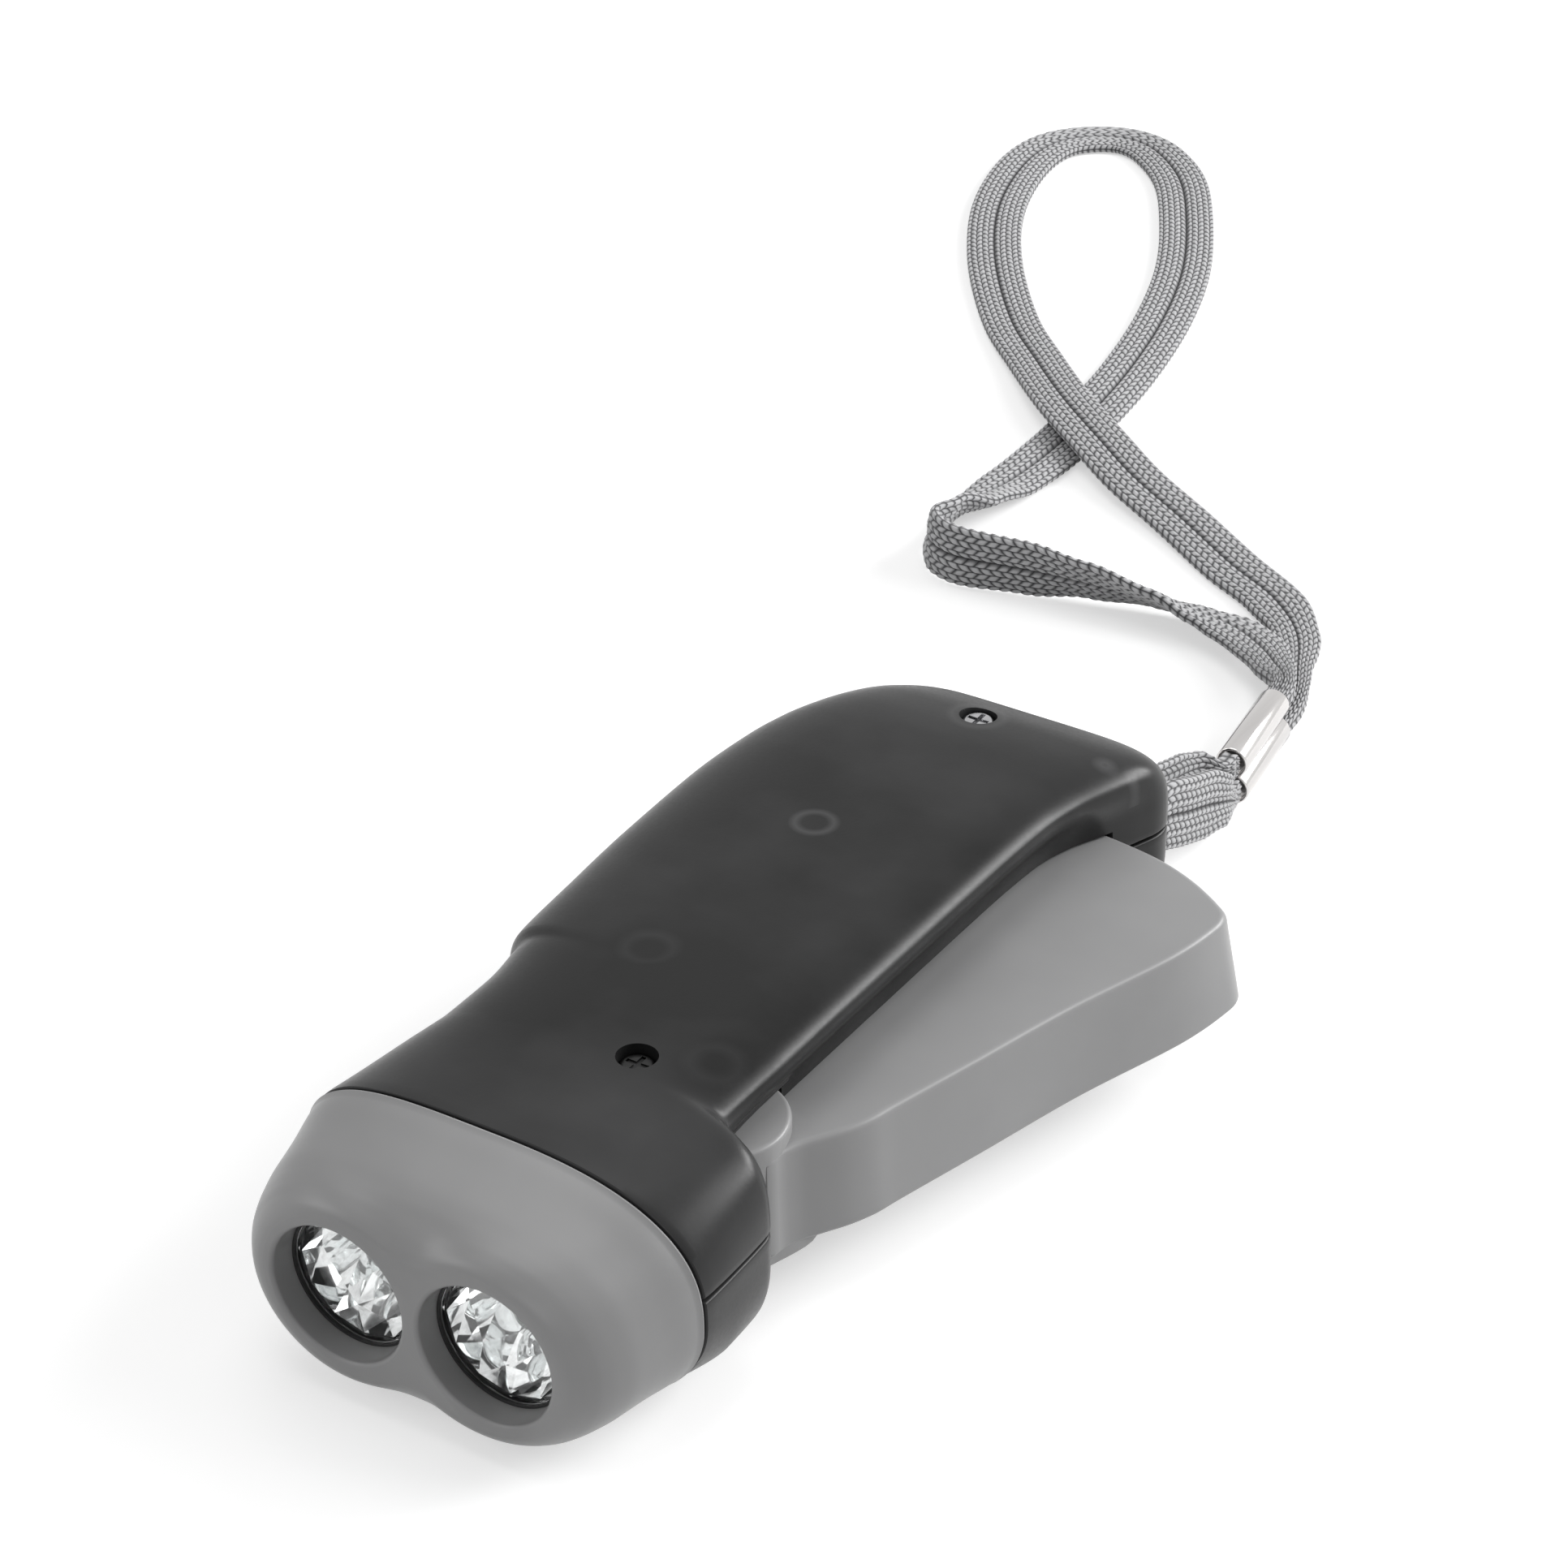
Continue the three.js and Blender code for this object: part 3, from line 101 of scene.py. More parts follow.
def set_world(strength):
    world = bpy.data.worlds.new("studio")
    bpy.context.scene.world = world
    world.use_nodes = True
    tree = world.node_tree
    sky = tree.nodes["Background"]
    sky.inputs["Color"].default_value = studio_white
    seen = seen_directly(tree)
    glow = calc(tree, "ADD", calc(tree, "MULTIPLY", seen, 1 - strength), strength)
    tree.links.new(glow, sky.inputs["Strength"])


def soft_light(name, place, size, power):
    lamp = bpy.data.lights.new(name, "AREA")
    lamp.shape = "RECTANGLE"
    lamp.size, lamp.size_y = size
    lamp.energy = power
    light = bpy.data.objects.new(name, lamp)
    light.location = place
    aim = aim_point - Vector(place)
    light.rotation_euler = aim.to_track_quat("-Z", "Y").to_euler()
    bpy.context.scene.collection.objects.link(light)


def lay_table():
    bpy.ops.object.select_all(action="DESELECT")
    bpy.ops.mesh.primitive_circle_add(vertices=64, radius=table_radius, fill_type="NGON")
    table = bpy.context.object
    table.name = "table"
    paint, tree, shader = new_paint("pale table")
    shader.inputs["Base Color"].default_value = table_colour
    shader.inputs["Roughness"].default_value = 0.9
    shader.inputs["Specular IOR Level"].default_value = 0.0
    shader.inputs["Emission Color"].default_value = studio_white
    glow = calc(tree, "MULTIPLY", seen_directly(tree), table_glow)
    tree.links.new(glow, shader.inputs["Emission Strength"])
    table.data.materials.append(paint)


set_camera()
set_world(sky_strength)
lay_table()
soft_light("overhead", (-0.15, 0.05, 0.8), (0.6, 0.6), 1.85)
soft_light("left", (-0.7, -0.5, 0.5), (0.4, 0.4), 1.5)
soft_light("behind right", (0.44, 0.62, 0.36), (0.5, 0.22), 5.6)
soft_light("right", (0.5, 0.31, 0.48), (0.35, 0.35), 1.6)
soft_light("front", (0.2, -0.9, 0.35), (0.4, 0.3), 0.8)
scene = bpy.context.scene
scene.view_settings.view_transform = "Standard"

# Braided band: ten columns of slanted stitches, which lean left and right by turns, over a flat
# core with one groove down its middle. It is light gray polyester, drawn narrow where it is
# gathered into the metal ferrule.
band_width = 8
band_thickness = 1.5
gathered_width = 3
band_columns = 10
column_points = 3
band_stitch = 1.35
band_relief = 0.26
band_steps = 3
band_groove = 0.45
groove_reach = 0.1
stitch_slant = 0.5
floor_gap = 0.02
flat = (0, band_width, band_thickness)
on_edge = (90, band_width, band_thickness)
gathered = (0, gathered_width, 2.25)
gathered_on_edge = (90, gathered_width, 2.25)
gathered_over = (180, gathered_width, 2.25)


def curve_between(a, b, c, d):
    """A smooth curve from b to c that heads for the points beside them."""
    before, here, after = [
        max(1e-3, (q - p).length ** 0.5) for p, q in ((a, b), (b, c), (c, d))
    ]
    start = ((b - a) / before - (c - a) / (before + here) + (c - b) / here) * here
    end = ((c - b) / here - (d - b) / (here + after) + (d - c) / after) * here

    def at(part):
        return (
            b + start * part + (3 * (c - b) - 2 * start - end) * part ** 2
            + (2 * (b - c) + start + end) * part ** 3
        )

    return at


def even_stations(route, step):
    """Centre, direction, tilt, width and thickness at even steps along a route."""
    line = [Vector(entry[:3]) for entry in route]
    line = [2 * line[0] - line[1], *line, 2 * line[-1] - line[-2]]
    curves = [curve_between(*line[span:span + 4]) for span in range(len(route) - 1)]
    fine = 60
    samples = []
    for span in range(len(route) - 1):
        for k in range(fine):
            samples.append((span, k / fine))
    samples.append((len(route) - 2, 1.0))
    points = [curves[span](part) for span, part in samples]
    reach = [0.0]
    for a, b in zip(points, points[1:]):
        reach.append(reach[-1] + (b - a).length)
    count = max(2, round(reach[-1] / step))
    stations = []
    at = 0
    for i in range(count + 1):
        want = reach[-1] * i / count
        while at < len(points) - 2 and reach[at + 1] < want:
            at += 1
        part = (want - reach[at]) / max(1e-9, reach[at + 1] - reach[at])
        centre = points[at].lerp(points[at + 1], part)
        along = (points[at + 1] - points[at]).normalized()
        span, share = samples[at]
        share = min(1.0, share + part / fine)
        share = share * share * (3 - 2 * share)
        here, there = route[span], route[span + 1]
        form = [here[k] + (there[k] - here[k]) * share for k in (3, 4, 5)]
        stations.append((centre, along, *form, want))
    return stations, reach[-1]


def stitch(across, along):
    """Height of the braid, 0 between stitches and 1 on top of one."""
    column = min(band_columns - 1, int((across + 1) / 2 * band_columns))
    x = (across + 1) / 2 * band_columns - column - 0.5
    lean = 1 if column % 2 else -1
    y = (along / band_stitch + lean * (x + 0.5) * stitch_slant) % 1 - 0.5
    dome = (1 - abs(2 * x) ** 4) * (1 - abs(2 * y) ** 2.2)
    return max(0.0, dome) ** 0.7


def mesh_object(made, name):
    mesh = bpy.data.meshes.new(name)
    made.to_mesh(mesh)
    made.free()
    shape = bpy.data.objects.new(name, mesh)
    scene.collection.objects.link(shape)
    return shape


def bridge(made, rows):
    """Faces between each ring of points and the next."""
    count = len(rows[0])
    for lower, upper in zip(rows, rows[1:]):
        for i in range(count):
            k = (i + 1) % count
            made.faces.new((lower[i], lower[k], upper[k], upper[i]))


def braided_band(name, route, paint):
    """The band along a route, with the places of its middle line and its length."""
    stations, length = even_stations(route, band_stitch / band_steps)
    side_points = band_columns * column_points
    up = Vector((0, 0, 1))
    made = bmesh.new()
    across_layer = made.verts.layers.float.new("across")
    along_layer = made.verts.layers.float.new("along")
    rings = []
    for centre, along, tilt, width, thickness, reach in stations:
        side = up.cross(along).normalized()
        over = along.cross(side).normalized()
        angle = math.radians(tilt)
        wide = side * math.cos(angle) + over * math.sin(angle)
        thick = along.cross(wide).normalized()
        fullness = min(1.0, (width - gathered_width) / (band_width - gathered_width))
        ring = []
        for face in (1, -1):
            for j in range(side_points):
                a = face * (1 - 2 * j / side_points)
                edge = max(0.0, 1 - abs(a) ** 5) ** 0.5
                groove = band_groove * fullness * math.exp(-((a / groove_reach) ** 2)) * thickness
                body = (thickness / 2 - band_relief) * edge
                height = stitch(a * face, reach)
                relief = band_relief * height * (0.35 + 0.65 * edge)
                b = face * (body + relief - groove / 2)
                swell = 1 - (band_relief * (1 - height) * (1 - edge)) / (width / 2)
                point = centre + wide * (a * swell * width / 2) + thick * b
                point.z = max(floor_gap, point.z)
                vertex = made.verts.new(point * MM)
                vertex[across_layer] = (a + 1) / 2
                vertex[along_layer] = reach
                ring.append(vertex)
        rings.append(ring)
    bridge(made, rings)
    made.faces.new(rings[0])
    made.faces.new(list(reversed(rings[-1])))
    bmesh.ops.recalc_face_normals(made, faces=made.faces)
    for face in made.faces:
        face.smooth = len(face.verts) == 4
    band = mesh_object(made, name)
    band.data.materials.append(paint)
    return band, [station[0] * MM for station in stations[::8]] + [stations[-1][0] * MM], length


def speckle(tree, scale, detail=4, stretch=None):
    """Noise that is fixed to the piece; stretch scales it along each axis."""
    place = tree.nodes.new("ShaderNodeTexCoord").outputs["Object"]
    if stretch:
        spread = tree.nodes.new("ShaderNodeMapping")
        spread.inputs["Scale"].default_value = stretch
        tree.links.new(place, spread.inputs["Vector"])
        place = spread.outputs["Vector"]
    grain = tree.nodes.new("ShaderNodeTexNoise")
    grain.inputs["Scale"].default_value = scale
    grain.inputs["Detail"].default_value = detail
    tree.links.new(place, grain.inputs["Vector"])
    return grain.outputs["Fac"]


def coloured(tree, shader, level, *stops):
    """Colours the piece by a pattern; each stop is a level and its colour."""
    ramp = tree.nodes.new("ShaderNodeValToRGB")
    row = ramp.color_ramp.elements
    for element, (place, colour) in zip((row[0], row[1]), (stops[0], stops[-1])):
        element.position = place
        element.color = (*colour, 1)
    for place, colour in stops[1:-1]:
        row.new(place).color = (*colour, 1)
    tree.links.new(level, ramp.inputs["Fac"])
    tree.links.new(ramp.outputs["Color"], shader.inputs["Base Color"])


def raised(tree, shader, height, strength, depth):
    """Lets a pattern stand out, by a depth in millimetres."""
    bump = tree.nodes.new("ShaderNodeBump")
    bump.inputs["Strength"].default_value = strength
    bump.inputs["Distance"].default_value = depth * MM
    tree.links.new(height, bump.inputs["Height"])
    tree.links.new(bump.outputs["Normal"], shader.inputs["Normal"])


def braid_paint():
    paint, tree, shader = new_paint("gray braid")
    shader.inputs["Roughness"].default_value = 0.85
    shader.inputs["Specular IOR Level"].default_value = 0.25
    shader.inputs["Sheen Weight"].default_value = 0.25
    shader.inputs["Sheen Roughness"].default_value = 0.5
    across = tree.nodes.new("ShaderNodeAttribute")
    across.attribute_name = "across"
    along = tree.nodes.new("ShaderNodeAttribute")
    along.attribute_name = "along"
    columns = calc(tree, "MULTIPLY", across.outputs["Fac"], band_columns)
    x = calc(tree, "SUBTRACT", calc(tree, "FRACT", columns), 0.5)
    odd = calc(tree, "MODULO", calc(tree, "FLOOR", columns), 2)
    lean = calc(tree, "MULTIPLY", calc(tree, "SUBTRACT", odd, 0.5), 2)
    slant = calc(tree, "MULTIPLY", calc(
        tree, "MULTIPLY", lean, calc(tree, "ADD", x, 0.5)), stitch_slant)
    steps = calc(tree, "DIVIDE", along.outputs["Fac"], band_stitch)
    y = calc(tree, "SUBTRACT", calc(tree, "FRACT", calc(tree, "ADD", steps, slant)), 0.5)

    def rounded(value, power):
        reach = calc(tree, "MULTIPLY", calc(tree, "ABSOLUTE", value), 2)
        return calc(tree, "SUBTRACT", 1, calc(tree, "POWER", reach, power))

    dome = calc(tree, "MULTIPLY", rounded(x, 5), rounded(y, 2.4))
    dome = calc(tree, "POWER", calc(tree, "MAXIMUM", dome, 0.0), 0.85)
    tint = speckle(tree, 900, 2)
    # Painted shade: the colour darkens to about a third along the middle groove.
    off_centre = calc(tree, "ABSOLUTE", calc(tree, "SUBTRACT", across.outputs["Fac"], 0.5))
    groove = calc(tree, "MINIMUM", calc(
        tree, "ADD", calc(tree, "MULTIPLY", off_centre, 12), 0.35), 1)
    level = calc(tree, "MULTIPLY", calc(tree, "MULTIPLY", dome, groove), calc(
        tree, "ADD", calc(tree, "MULTIPLY", tint, 0.5), 0.75))
    # The colour runs from near black between the stitches to pale gray on their tops: painted shade
    # in the gaps.
    dark, middle, pale = (0.02, 0.02, 0.022), (0.15, 0.15, 0.155), (0.5, 0.5, 0.51)
    coloured(tree, shader, level, (0, dark), (0.45, middle), (0.9, pale))
    threads = calc(tree, "SINE", calc(tree, "MULTIPLY", calc(tree, "ADD", x, calc(
        tree, "MULTIPLY", calc(tree, "MULTIPLY", y, lean), 0.4)), 38))
    height = calc(tree, "ADD", dome, calc(tree, "MULTIPLY", threads, 0.12))
    raised(tree, shader, height, 0.6, 0.15)
    return paint


# Place x, y and z of the middle line, then the band's tilt, width and thickness there.
neck_route = [
    (11.96, 78.01, 4.98, *gathered_on_edge),
    (12.1, 75.8, 5.15, *gathered_on_edge),
    (10.9, 71.5, 6.4, 90, 6.2, 1.5),
    (11.1, 66.0, 7.8, *on_edge),
    (11.2, 60.0, 9.6, *on_edge),
    (11.25, 54.5, 11.4, *on_edge),
    (11.25, 50.0, 12.5, *on_edge),
    (11.25, 47.5, 12.5, *on_edge),
    (11.91, 45.91, 12.5, *on_edge),
    (13.5, 45.25, 12.5, *on_edge),
    (15.09, 45.91, 12.5, *on_edge),
    (15.75, 47.5, 12.5, *on_edge),
    (15.75, 50.0, 12.5, *on_edge),
    (15.75, 54.5, 12.0, *on_edge),
    (15.6, 60.0, 9.8, *on_edge),
    (15.1, 66.0, 7.3, *on_edge),
    (14.5, 71.5, 4.7, 90, 6.2, 1.5),
    (12.75, 75.8, 2.05, *gathered_on_edge),
    (12.29, 78.05, 1.8, *gathered_on_edge),
]
strap_route = [
    (10.41, 92.53, 1.8, *gathered),
    (9.7, 98.0, 1.65, *gathered),
    (6.6, 105.3, 1.4, 10, 3.8, 2),
    (2.8, 113.1, 1.1, 5, 6, 1.6),
    (-2.9, 119.4, 0.9, 0, 7.6, 1.5),
    (-11.4, 124.7, 0.8, *flat),
    (-21.2, 131.0, 1.2, *flat),
    (-30.8, 136.4, 2.0, *flat),
    (-38.2, 141.7, 2.6, *flat),
    (-47.6, 149.5, 2.5, *flat),
    (-57.4, 159.7, 1.4, *flat),
    (-66.5, 169.4, 0.8, *flat),
    (-78.9, 186.6, 0.8, *flat),
    (-87.2, 203.0, 0.8, *flat),
    (-91.0, 218.5, 0.8, *flat),
    (-90.3, 225.5, 0.8, *flat),
    (-87.1, 229.6, 0.8, *flat),
    (-83.0, 231.5, 0.8, *flat),
    (-78.9, 230.9, 0.8, *flat),
    (-74.4, 227.9, 0.8, *flat),
    (-69.0, 222.2, 0.8, *flat),
    (-62.4, 211.3, 0.8, *flat),
    (-55.0, 196.0, 0.8, *flat),
    (-49.9, 180.5, 0.8, *flat),
    (-46.4, 164.4, 0.8, *flat),
    (-44.8, 152.5, 0.8, *flat),
    (-43.8, 140.0, 0.8, *flat),
    (-43.9, 129.5, 0.95, 4, *flat[1:]),
    (-43.8, 120.3, 2.2, 22, *flat[1:]),
    (-43.3, 112.0, 3.8, 60, *flat[1:]),
    (-42.0, 106.8, 4.1, 86, *flat[1:]),
    (-38.2, 104.7, 4.1, *on_edge),
    (-29.3, 106.1, 4.1, 100, *flat[1:]),
    (-21.6, 107.7, 3.9, 122, *flat[1:]),
    (-13.7, 109.0, 3.2, 141, *flat[1:]),
    (-7.7, 109.4, 2.5, 160, *flat[1:]),
    (-3.1, 108.5, 2.5, 170, *flat[1:]),
    (1.3, 105.7, 3.0, 176, 7, 1.5),
    (5.6, 101.2, 3.9, 180, 5.2, 1.8),
    (9.2, 96.4, 4.85, *gathered_over),
    (10.08, 92.49, 4.98, *gathered_over),
]
braid = braid_paint()
neck, neck_path, neck_length = braided_band("neck_band", neck_route, braid)
strap, strap_path, strap_length = braided_band("wrist_band", strap_route, braid)
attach(neck, "case")
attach(strap, "case")
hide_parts("strap_neck")
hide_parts("wrist_strap")

# Ferrule. Two short tubes of bright plated steel, side by side, crimped over the gathered band
# where it leaves the loop round the case and where the wrist loop begins.
tube_radius = 1.8
tube_length = 14
tube_mouth = 1.45
tube_turn = 97.4
tube_tilt = 84
tube_spacing = 3.2
tube_start = Vector((12.25, 78.35, 1.8))
mouth_depth = 0.8
rolled_edge = 0.18


def roughened(tree, shader, pattern, swing, least):
    """Dulls the piece by a pattern, from the least roughness upwards."""
    rough = calc(tree, "ADD", calc(tree, "MULTIPLY", pattern, swing), least)
    tree.links.new(rough, shader.inputs["Roughness"])


def metal_paint(name, colour, roughness, grain, stretch=None):
    """Metal with fine marks; stretch draws them out along an axis, on the ferrule into painted
    reflection.
    """
    paint, tree, shader = new_paint(name)
    shader.inputs["Metallic"].default_value = 1.0
    marks = speckle(tree, grain, 5, stretch)
    coloured(tree, shader, marks, (0, [c * 0.6 for c in colour]), (1, colour))
    roughened(tree, shader, marks, 0.2, roughness - 0.1)
    raised(tree, shader, marks, 0.15, 0.02)
    return paint


def clear_selection():
    if bpy.context.object and bpy.context.object.mode != "OBJECT":
        bpy.ops.object.mode_set(mode="OBJECT")
    bpy.ops.object.select_all(action="DESELECT")


def settle(piece):
    """Puts the piece's place into its mesh."""
    clear_selection()
    piece.select_set(True)
    bpy.context.view_layer.objects.active = piece
    bpy.ops.object.transform_apply(location=True, rotation=True, scale=True)


def crimped_tube(start):
    """A short tube on its side, with a sunk mouth at each end and rolled edges."""
    clear_selection()
    bpy.ops.mesh.primitive_cylinder_add(
        vertices=48, radius=tube_radius * MM, depth=tube_length * MM, end_fill_type="NGON"
    )
    tube = bpy.context.object
    bpy.ops.object.mode_set(mode="EDIT")
    bpy.ops.mesh.select_all(action="DESELECT")
    bpy.ops.mesh.select_mode(type="FACE")
    made = bmesh.from_edit_mesh(tube.data)
    for face in made.faces:
        face.select_set(len(face.verts) > 4)
    bmesh.update_edit_mesh(tube.data)
    bpy.ops.mesh.inset(thickness=(tube_radius - tube_mouth) * MM, use_individual=True)
    made = bmesh.from_edit_mesh(tube.data)
    for face in [face for face in made.faces if face.select]:
        bmesh.ops.extrude_discrete_faces(made, faces=[face])
    bmesh.update_edit_mesh(tube.data)
    made = bmesh.from_edit_mesh(tube.data)
    made.faces.ensure_lookup_table()
    for face in made.faces:
        face.select_set(len(face.verts) > 4)
        if len(face.verts) > 4:
            way = 1 if face.calc_center_median().z > 0 else -1
            for vertex in face.verts:
                vertex.co.z -= way * mouth_depth * MM
    bmesh.ops.recalc_face_normals(made, faces=made.faces)
    bmesh.update_edit_mesh(tube.data)
    bpy.ops.object.mode_set(mode="OBJECT")
    turn = math.radians(tube_turn)
    along = Vector((math.cos(turn), math.sin(turn), 0))
    tube.matrix_world = (
        Matrix.Translation((start + along * tube_length / 2) * MM)
        @ along.to_track_quat("Z", "Y").to_matrix().to_4x4()
    )
    bevel = tube.modifiers.new("rolled edge", "BEVEL")
    bevel.width = rolled_edge * MM
    bevel.segments = 3
    bevel.limit_method = "ANGLE"
    bevel.angle_limit = math.radians(40)
    bpy.ops.object.modifier_apply(modifier="rolled edge")
    settle(tube)
    bpy.ops.object.shade_smooth_by_angle(angle=math.radians(35))
    return tube


turn = math.radians(tube_turn - 90)
tilt = math.radians(tube_tilt)
beside = Vector((
    -math.cos(tilt) * math.cos(turn), -math.cos(tilt) * math.sin(turn), math.sin(tilt)
))
tubes = [crimped_tube(tube_start), crimped_tube(tube_start + beside * tube_spacing)]
clear_selection()
for tube in tubes:
    tube.select_set(True)
bpy.context.view_layer.objects.active = tubes[0]
bpy.ops.object.join()
ferrule = bpy.context.object
ferrule.name = "crimped_ferrule"
# Painted reflection: long bands along the tubes darken the ferrule's colour by up to two fifths.
plated = metal_paint("plated ferrule", (0.74, 0.72, 0.71), 0.14, 420, (1, 0.06, 1))
ferrule.data.materials.append(plated)
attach(ferrule, "case")
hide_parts("strap_ferrule")

# Case halves. Two thin half shells moulded in smoky, nearly black plastic, parted a little above
# the middle and drawn together by two screws from above. Posts inside carry the axles.
case_width = 46
case_height = 25
case_middle = 12.5
case_crown = 0.5
case_top = 24.975
least_rise = 0.002
seam_y = -39.6
rear_y = 52
wall = 1.8
parting_z = 15.3
parting_gap = 0.15
edge_round = 0.3
ring_points = 96
left_roundness = (4.6, 3.7)
right_roundness = (6.5, 2.6)
low_roundness = (2.6, 2.0)
top_share = 0.25
low_share = 0.06
tuck_depth = 2.4
tuck_from = 10.8
tuck_to = 6.5
# Share of the case's length, left and right reach as shares of its width, half its height as a
# share of its height, and how far the right side is drawn in.
case_shares = [
    (0.002, -0.445, 0.472, 0.5, 0),
    (0.0406, -0.429, 0.47, 0.5, 0),
    (0.1144, -0.403, 0.462, 0.5, 0),
    (0.1303, -0.397, 0.44, 0.5, 0),
    (0.1462, -0.391, 0.362, 0.5, 0.5),
    (0.1576, -0.387, 0.347, 0.5, 0.8),
    (0.2336, -0.382, 0.342, 0.5, 1),
    (0.2904, -0.398, 0.342, 0.5, 1),
    (0.3063, -0.402, 0.342, 0.5, 1),
    (0.3222, -0.429, 0.342, 0.5, 1),
    (0.4323, -0.452, 0.343, 0.5, 1),
    (0.5459, -0.469, 0.344, 0.5, 1),
    (0.6764, -0.477, 0.346, 0.5, 1),
    (0.7707, -0.464, 0.352, 0.5, 0.95),
    (0.824, -0.442, 0.368, 0.5, 0.8),
    (0.8694, -0.407, 0.392, 0.497, 0.5),
    (0.9148, -0.357, 0.415, 0.483, 0.25),
    (0.941, -0.316, 0.424, 0.46, 0.1),
    (0.9614, -0.275, 0.418, 0.432, 0),
    (0.9796, -0.23, 0.395, 0.388, 0),
    (0.9932, -0.175, 0.362, 0.32, 0),
    (1.0023, -0.11, 0.315, 0.22, 0),
]
closing_shares = [(0.96, 0.05), (0.88, 0.16), (0.72, 0.3), (0.5, 0.42), (0.25, 0.49), (0.02, 0.5)]
pivot = (10.5, -21.0)
axle_places = [(-4.2707, -9.2087), (-6.2386, 5.1572), (-2.8981, 17.2025)]
screw_places = [(4.3, -24.0), (0.1, 43.5)]
stack_posts = [(-10.35, 32.2), (-10.35, 26.2)]
post_foot = 1.2
post_head = 23.6
screw_post_radius = 2.7
stack_post_radius = 1.4
stack_post_top = 10.6
# Place and radius of each pair of axle posts, the top of the lower one and the foot of the upper.
axle_posts = [
    (pivot, 2.95, 5.4, 19.6), (axle_places[0], 2.45, 9.1, 14.6),
    (axle_places[1], 2.45, 9.6, 17.6), (axle_places[2], 2.45, 2.9, 18.0),
]
screw_hole_radius = 1.05
screw_head_z = 21.8
counterbore_radius = 1.85
counterbore_mouth = 2.0
slot_inner = 3.4
slot_front = 62
slot_reach = 62.15
slot_low, slot_high = 6.5, 18.0
slot_steps = 40
notch_radius = 7.1
notch_low, notch_high = 5.4, 19.6
foot_notch_radius = 9.8
foot_notch_high = 8.4
strap_window = ((8.5, 47.5, 7.3), (18.5, 70, 17.7))
switch_window = ((-30, -25.6, 10.6), (-12, -18.4, 14.4))
rib_low = 19.4
rib_spacing = 0.85
rib_thickness = 0.45
rib_proud = 0.28
rib_root = 0.5
rib_from = 0.172
rib_span = 0.115
rib_steps = 18


def eased(rows, at):
    """The row at a place between the rows of a table, with no overshoot."""
    span = min(len(rows) - 2, int(at))
    part = at - span
    found = []
    for column in range(len(rows[0])):
        steps = [b[column] - a[column] for a, b in zip(rows, rows[1:])]
        slopes = []
        for i in (span, span + 1):
            before, after = steps[max(0, i - 1)], steps[min(len(steps) - 1, i)]
            slopes.append(2 * before * after / (before + after) if before * after > 0 else 0.0)
        here, there = rows[span][column], rows[span + 1][column]
        square, cube = part ** 2, part ** 3
        found.append(
            here * (2 * cube - 3 * square + 1) + there * (3 * square - 2 * cube)
            + slopes[0] * (cube - 2 * square + part) + slopes[1] * (cube - square)
        )
    return found


def even_points(line, count):
    """The line's points moved to equal steps along it."""
    reach = [0.0]
    for a, b in zip(line, line[1:]):
        reach.append(reach[-1] + math.dist(a, b))
    found = []
    at = 0
    for i in range(count):
        want = reach[-1] * i / (count - 1)
        while at < len(line) - 2 and reach[at + 1] < want:
            at += 1
        part = (want - reach[at]) / max(1e-9, reach[at + 1] - reach[at])
        found.append(tuple(p + (q - p) * part for p, q in zip(line[at], line[at + 1])))
    return found


def roundness_at(share, angle):
    """The exponent of the section at its station, in one direction."""
    if math.sin(angle) < 0:
        body, seam, reach = (*low_roundness, low_share)
    else:
        sides = left_roundness if math.cos(angle) < 0 else right_roundness
        body, seam, reach = (*sides, top_share)
    return body + (seam - body) * max(0.0, 1 - share / reach)


def section_point(row, inset, angle):
    """The point x, z of the case's section in one direction, its right side drawn in."""
    share, left, right, height, tuck = row
    power = 2 / roundness_at(share, angle)
    up = height * case_height - inset
    across = math.copysign(abs(math.cos(angle)) ** power, math.cos(angle))
    upward = math.copysign(abs(math.sin(angle)) ** power, math.sin(angle))
    z = case_middle + upward * (up if upward > 0 else up + case_crown)
    part = min(1.0, max(0.0, (tuck_from - abs(z - case_middle)) / (tuck_from - tuck_to)))
    drawn = tuck * tuck_depth * part * part * (3 - 2 * part) if across > 0 else 0
    x = across * ((right if across > 0 else -left) * case_width - inset) - drawn
    return x, min(case_top, max(inset, z, least_rise))


def station_y(row):
    return seam_y + row[0] * (rear_y - seam_y)


def case_outline(row, inset, start, steps):
    """Points x, z round the case at one station, over one turn from a starting angle."""
    line = []
    for i in range(4 * steps + 1):
        quarter, part = divmod(i, steps)
        part = part / steps
        eased_part = part ** 1.3 / (part ** 1.3 + (1 - part) ** 1.3)
        line.append(section_point(row, inset, start + math.pi / 2 * (quarter + eased_part)))
    return line


def half_profile(row, inset, upper, rounding):
    """The part of the outline above or below the parting line, with rounded ends."""
    way = 1 if upper else -1
    limit = way * parting_z + parting_gap + rounding
    line = case_outline(row, inset, -math.pi / 2 if upper else math.pi / 2, 60)
    kept = [i for i, (x, z) in enumerate(line) if way * z > limit]
    ends = []
    for inside, outside in ((kept[0], kept[0] - 1), (kept[-1], kept[-1] + 1)):
        (x, z), (x2, z2) = line[inside], line[outside]
        part = (way * z - limit) / (way * (z - z2))
        ends.append((x + (x2 - x) * part, way * limit))
    points = even_points([ends[0], *[line[i] for i in kept], ends[1]], ring_points)
    for end, place in ((0, ends[0]), (1, ends[1])):
        inward = -1 if place[0] > 0 else 1
        bend = []
        for turn in (30, 60, 90) if rounding else ():
            angle = math.radians(turn)
            bend.append((
                place[0] + inward * rounding * (1 - math.cos(angle)),
                way * (limit - rounding * math.sin(angle)),
            ))
        points = points + bend if end else bend[::-1] + points
    return points


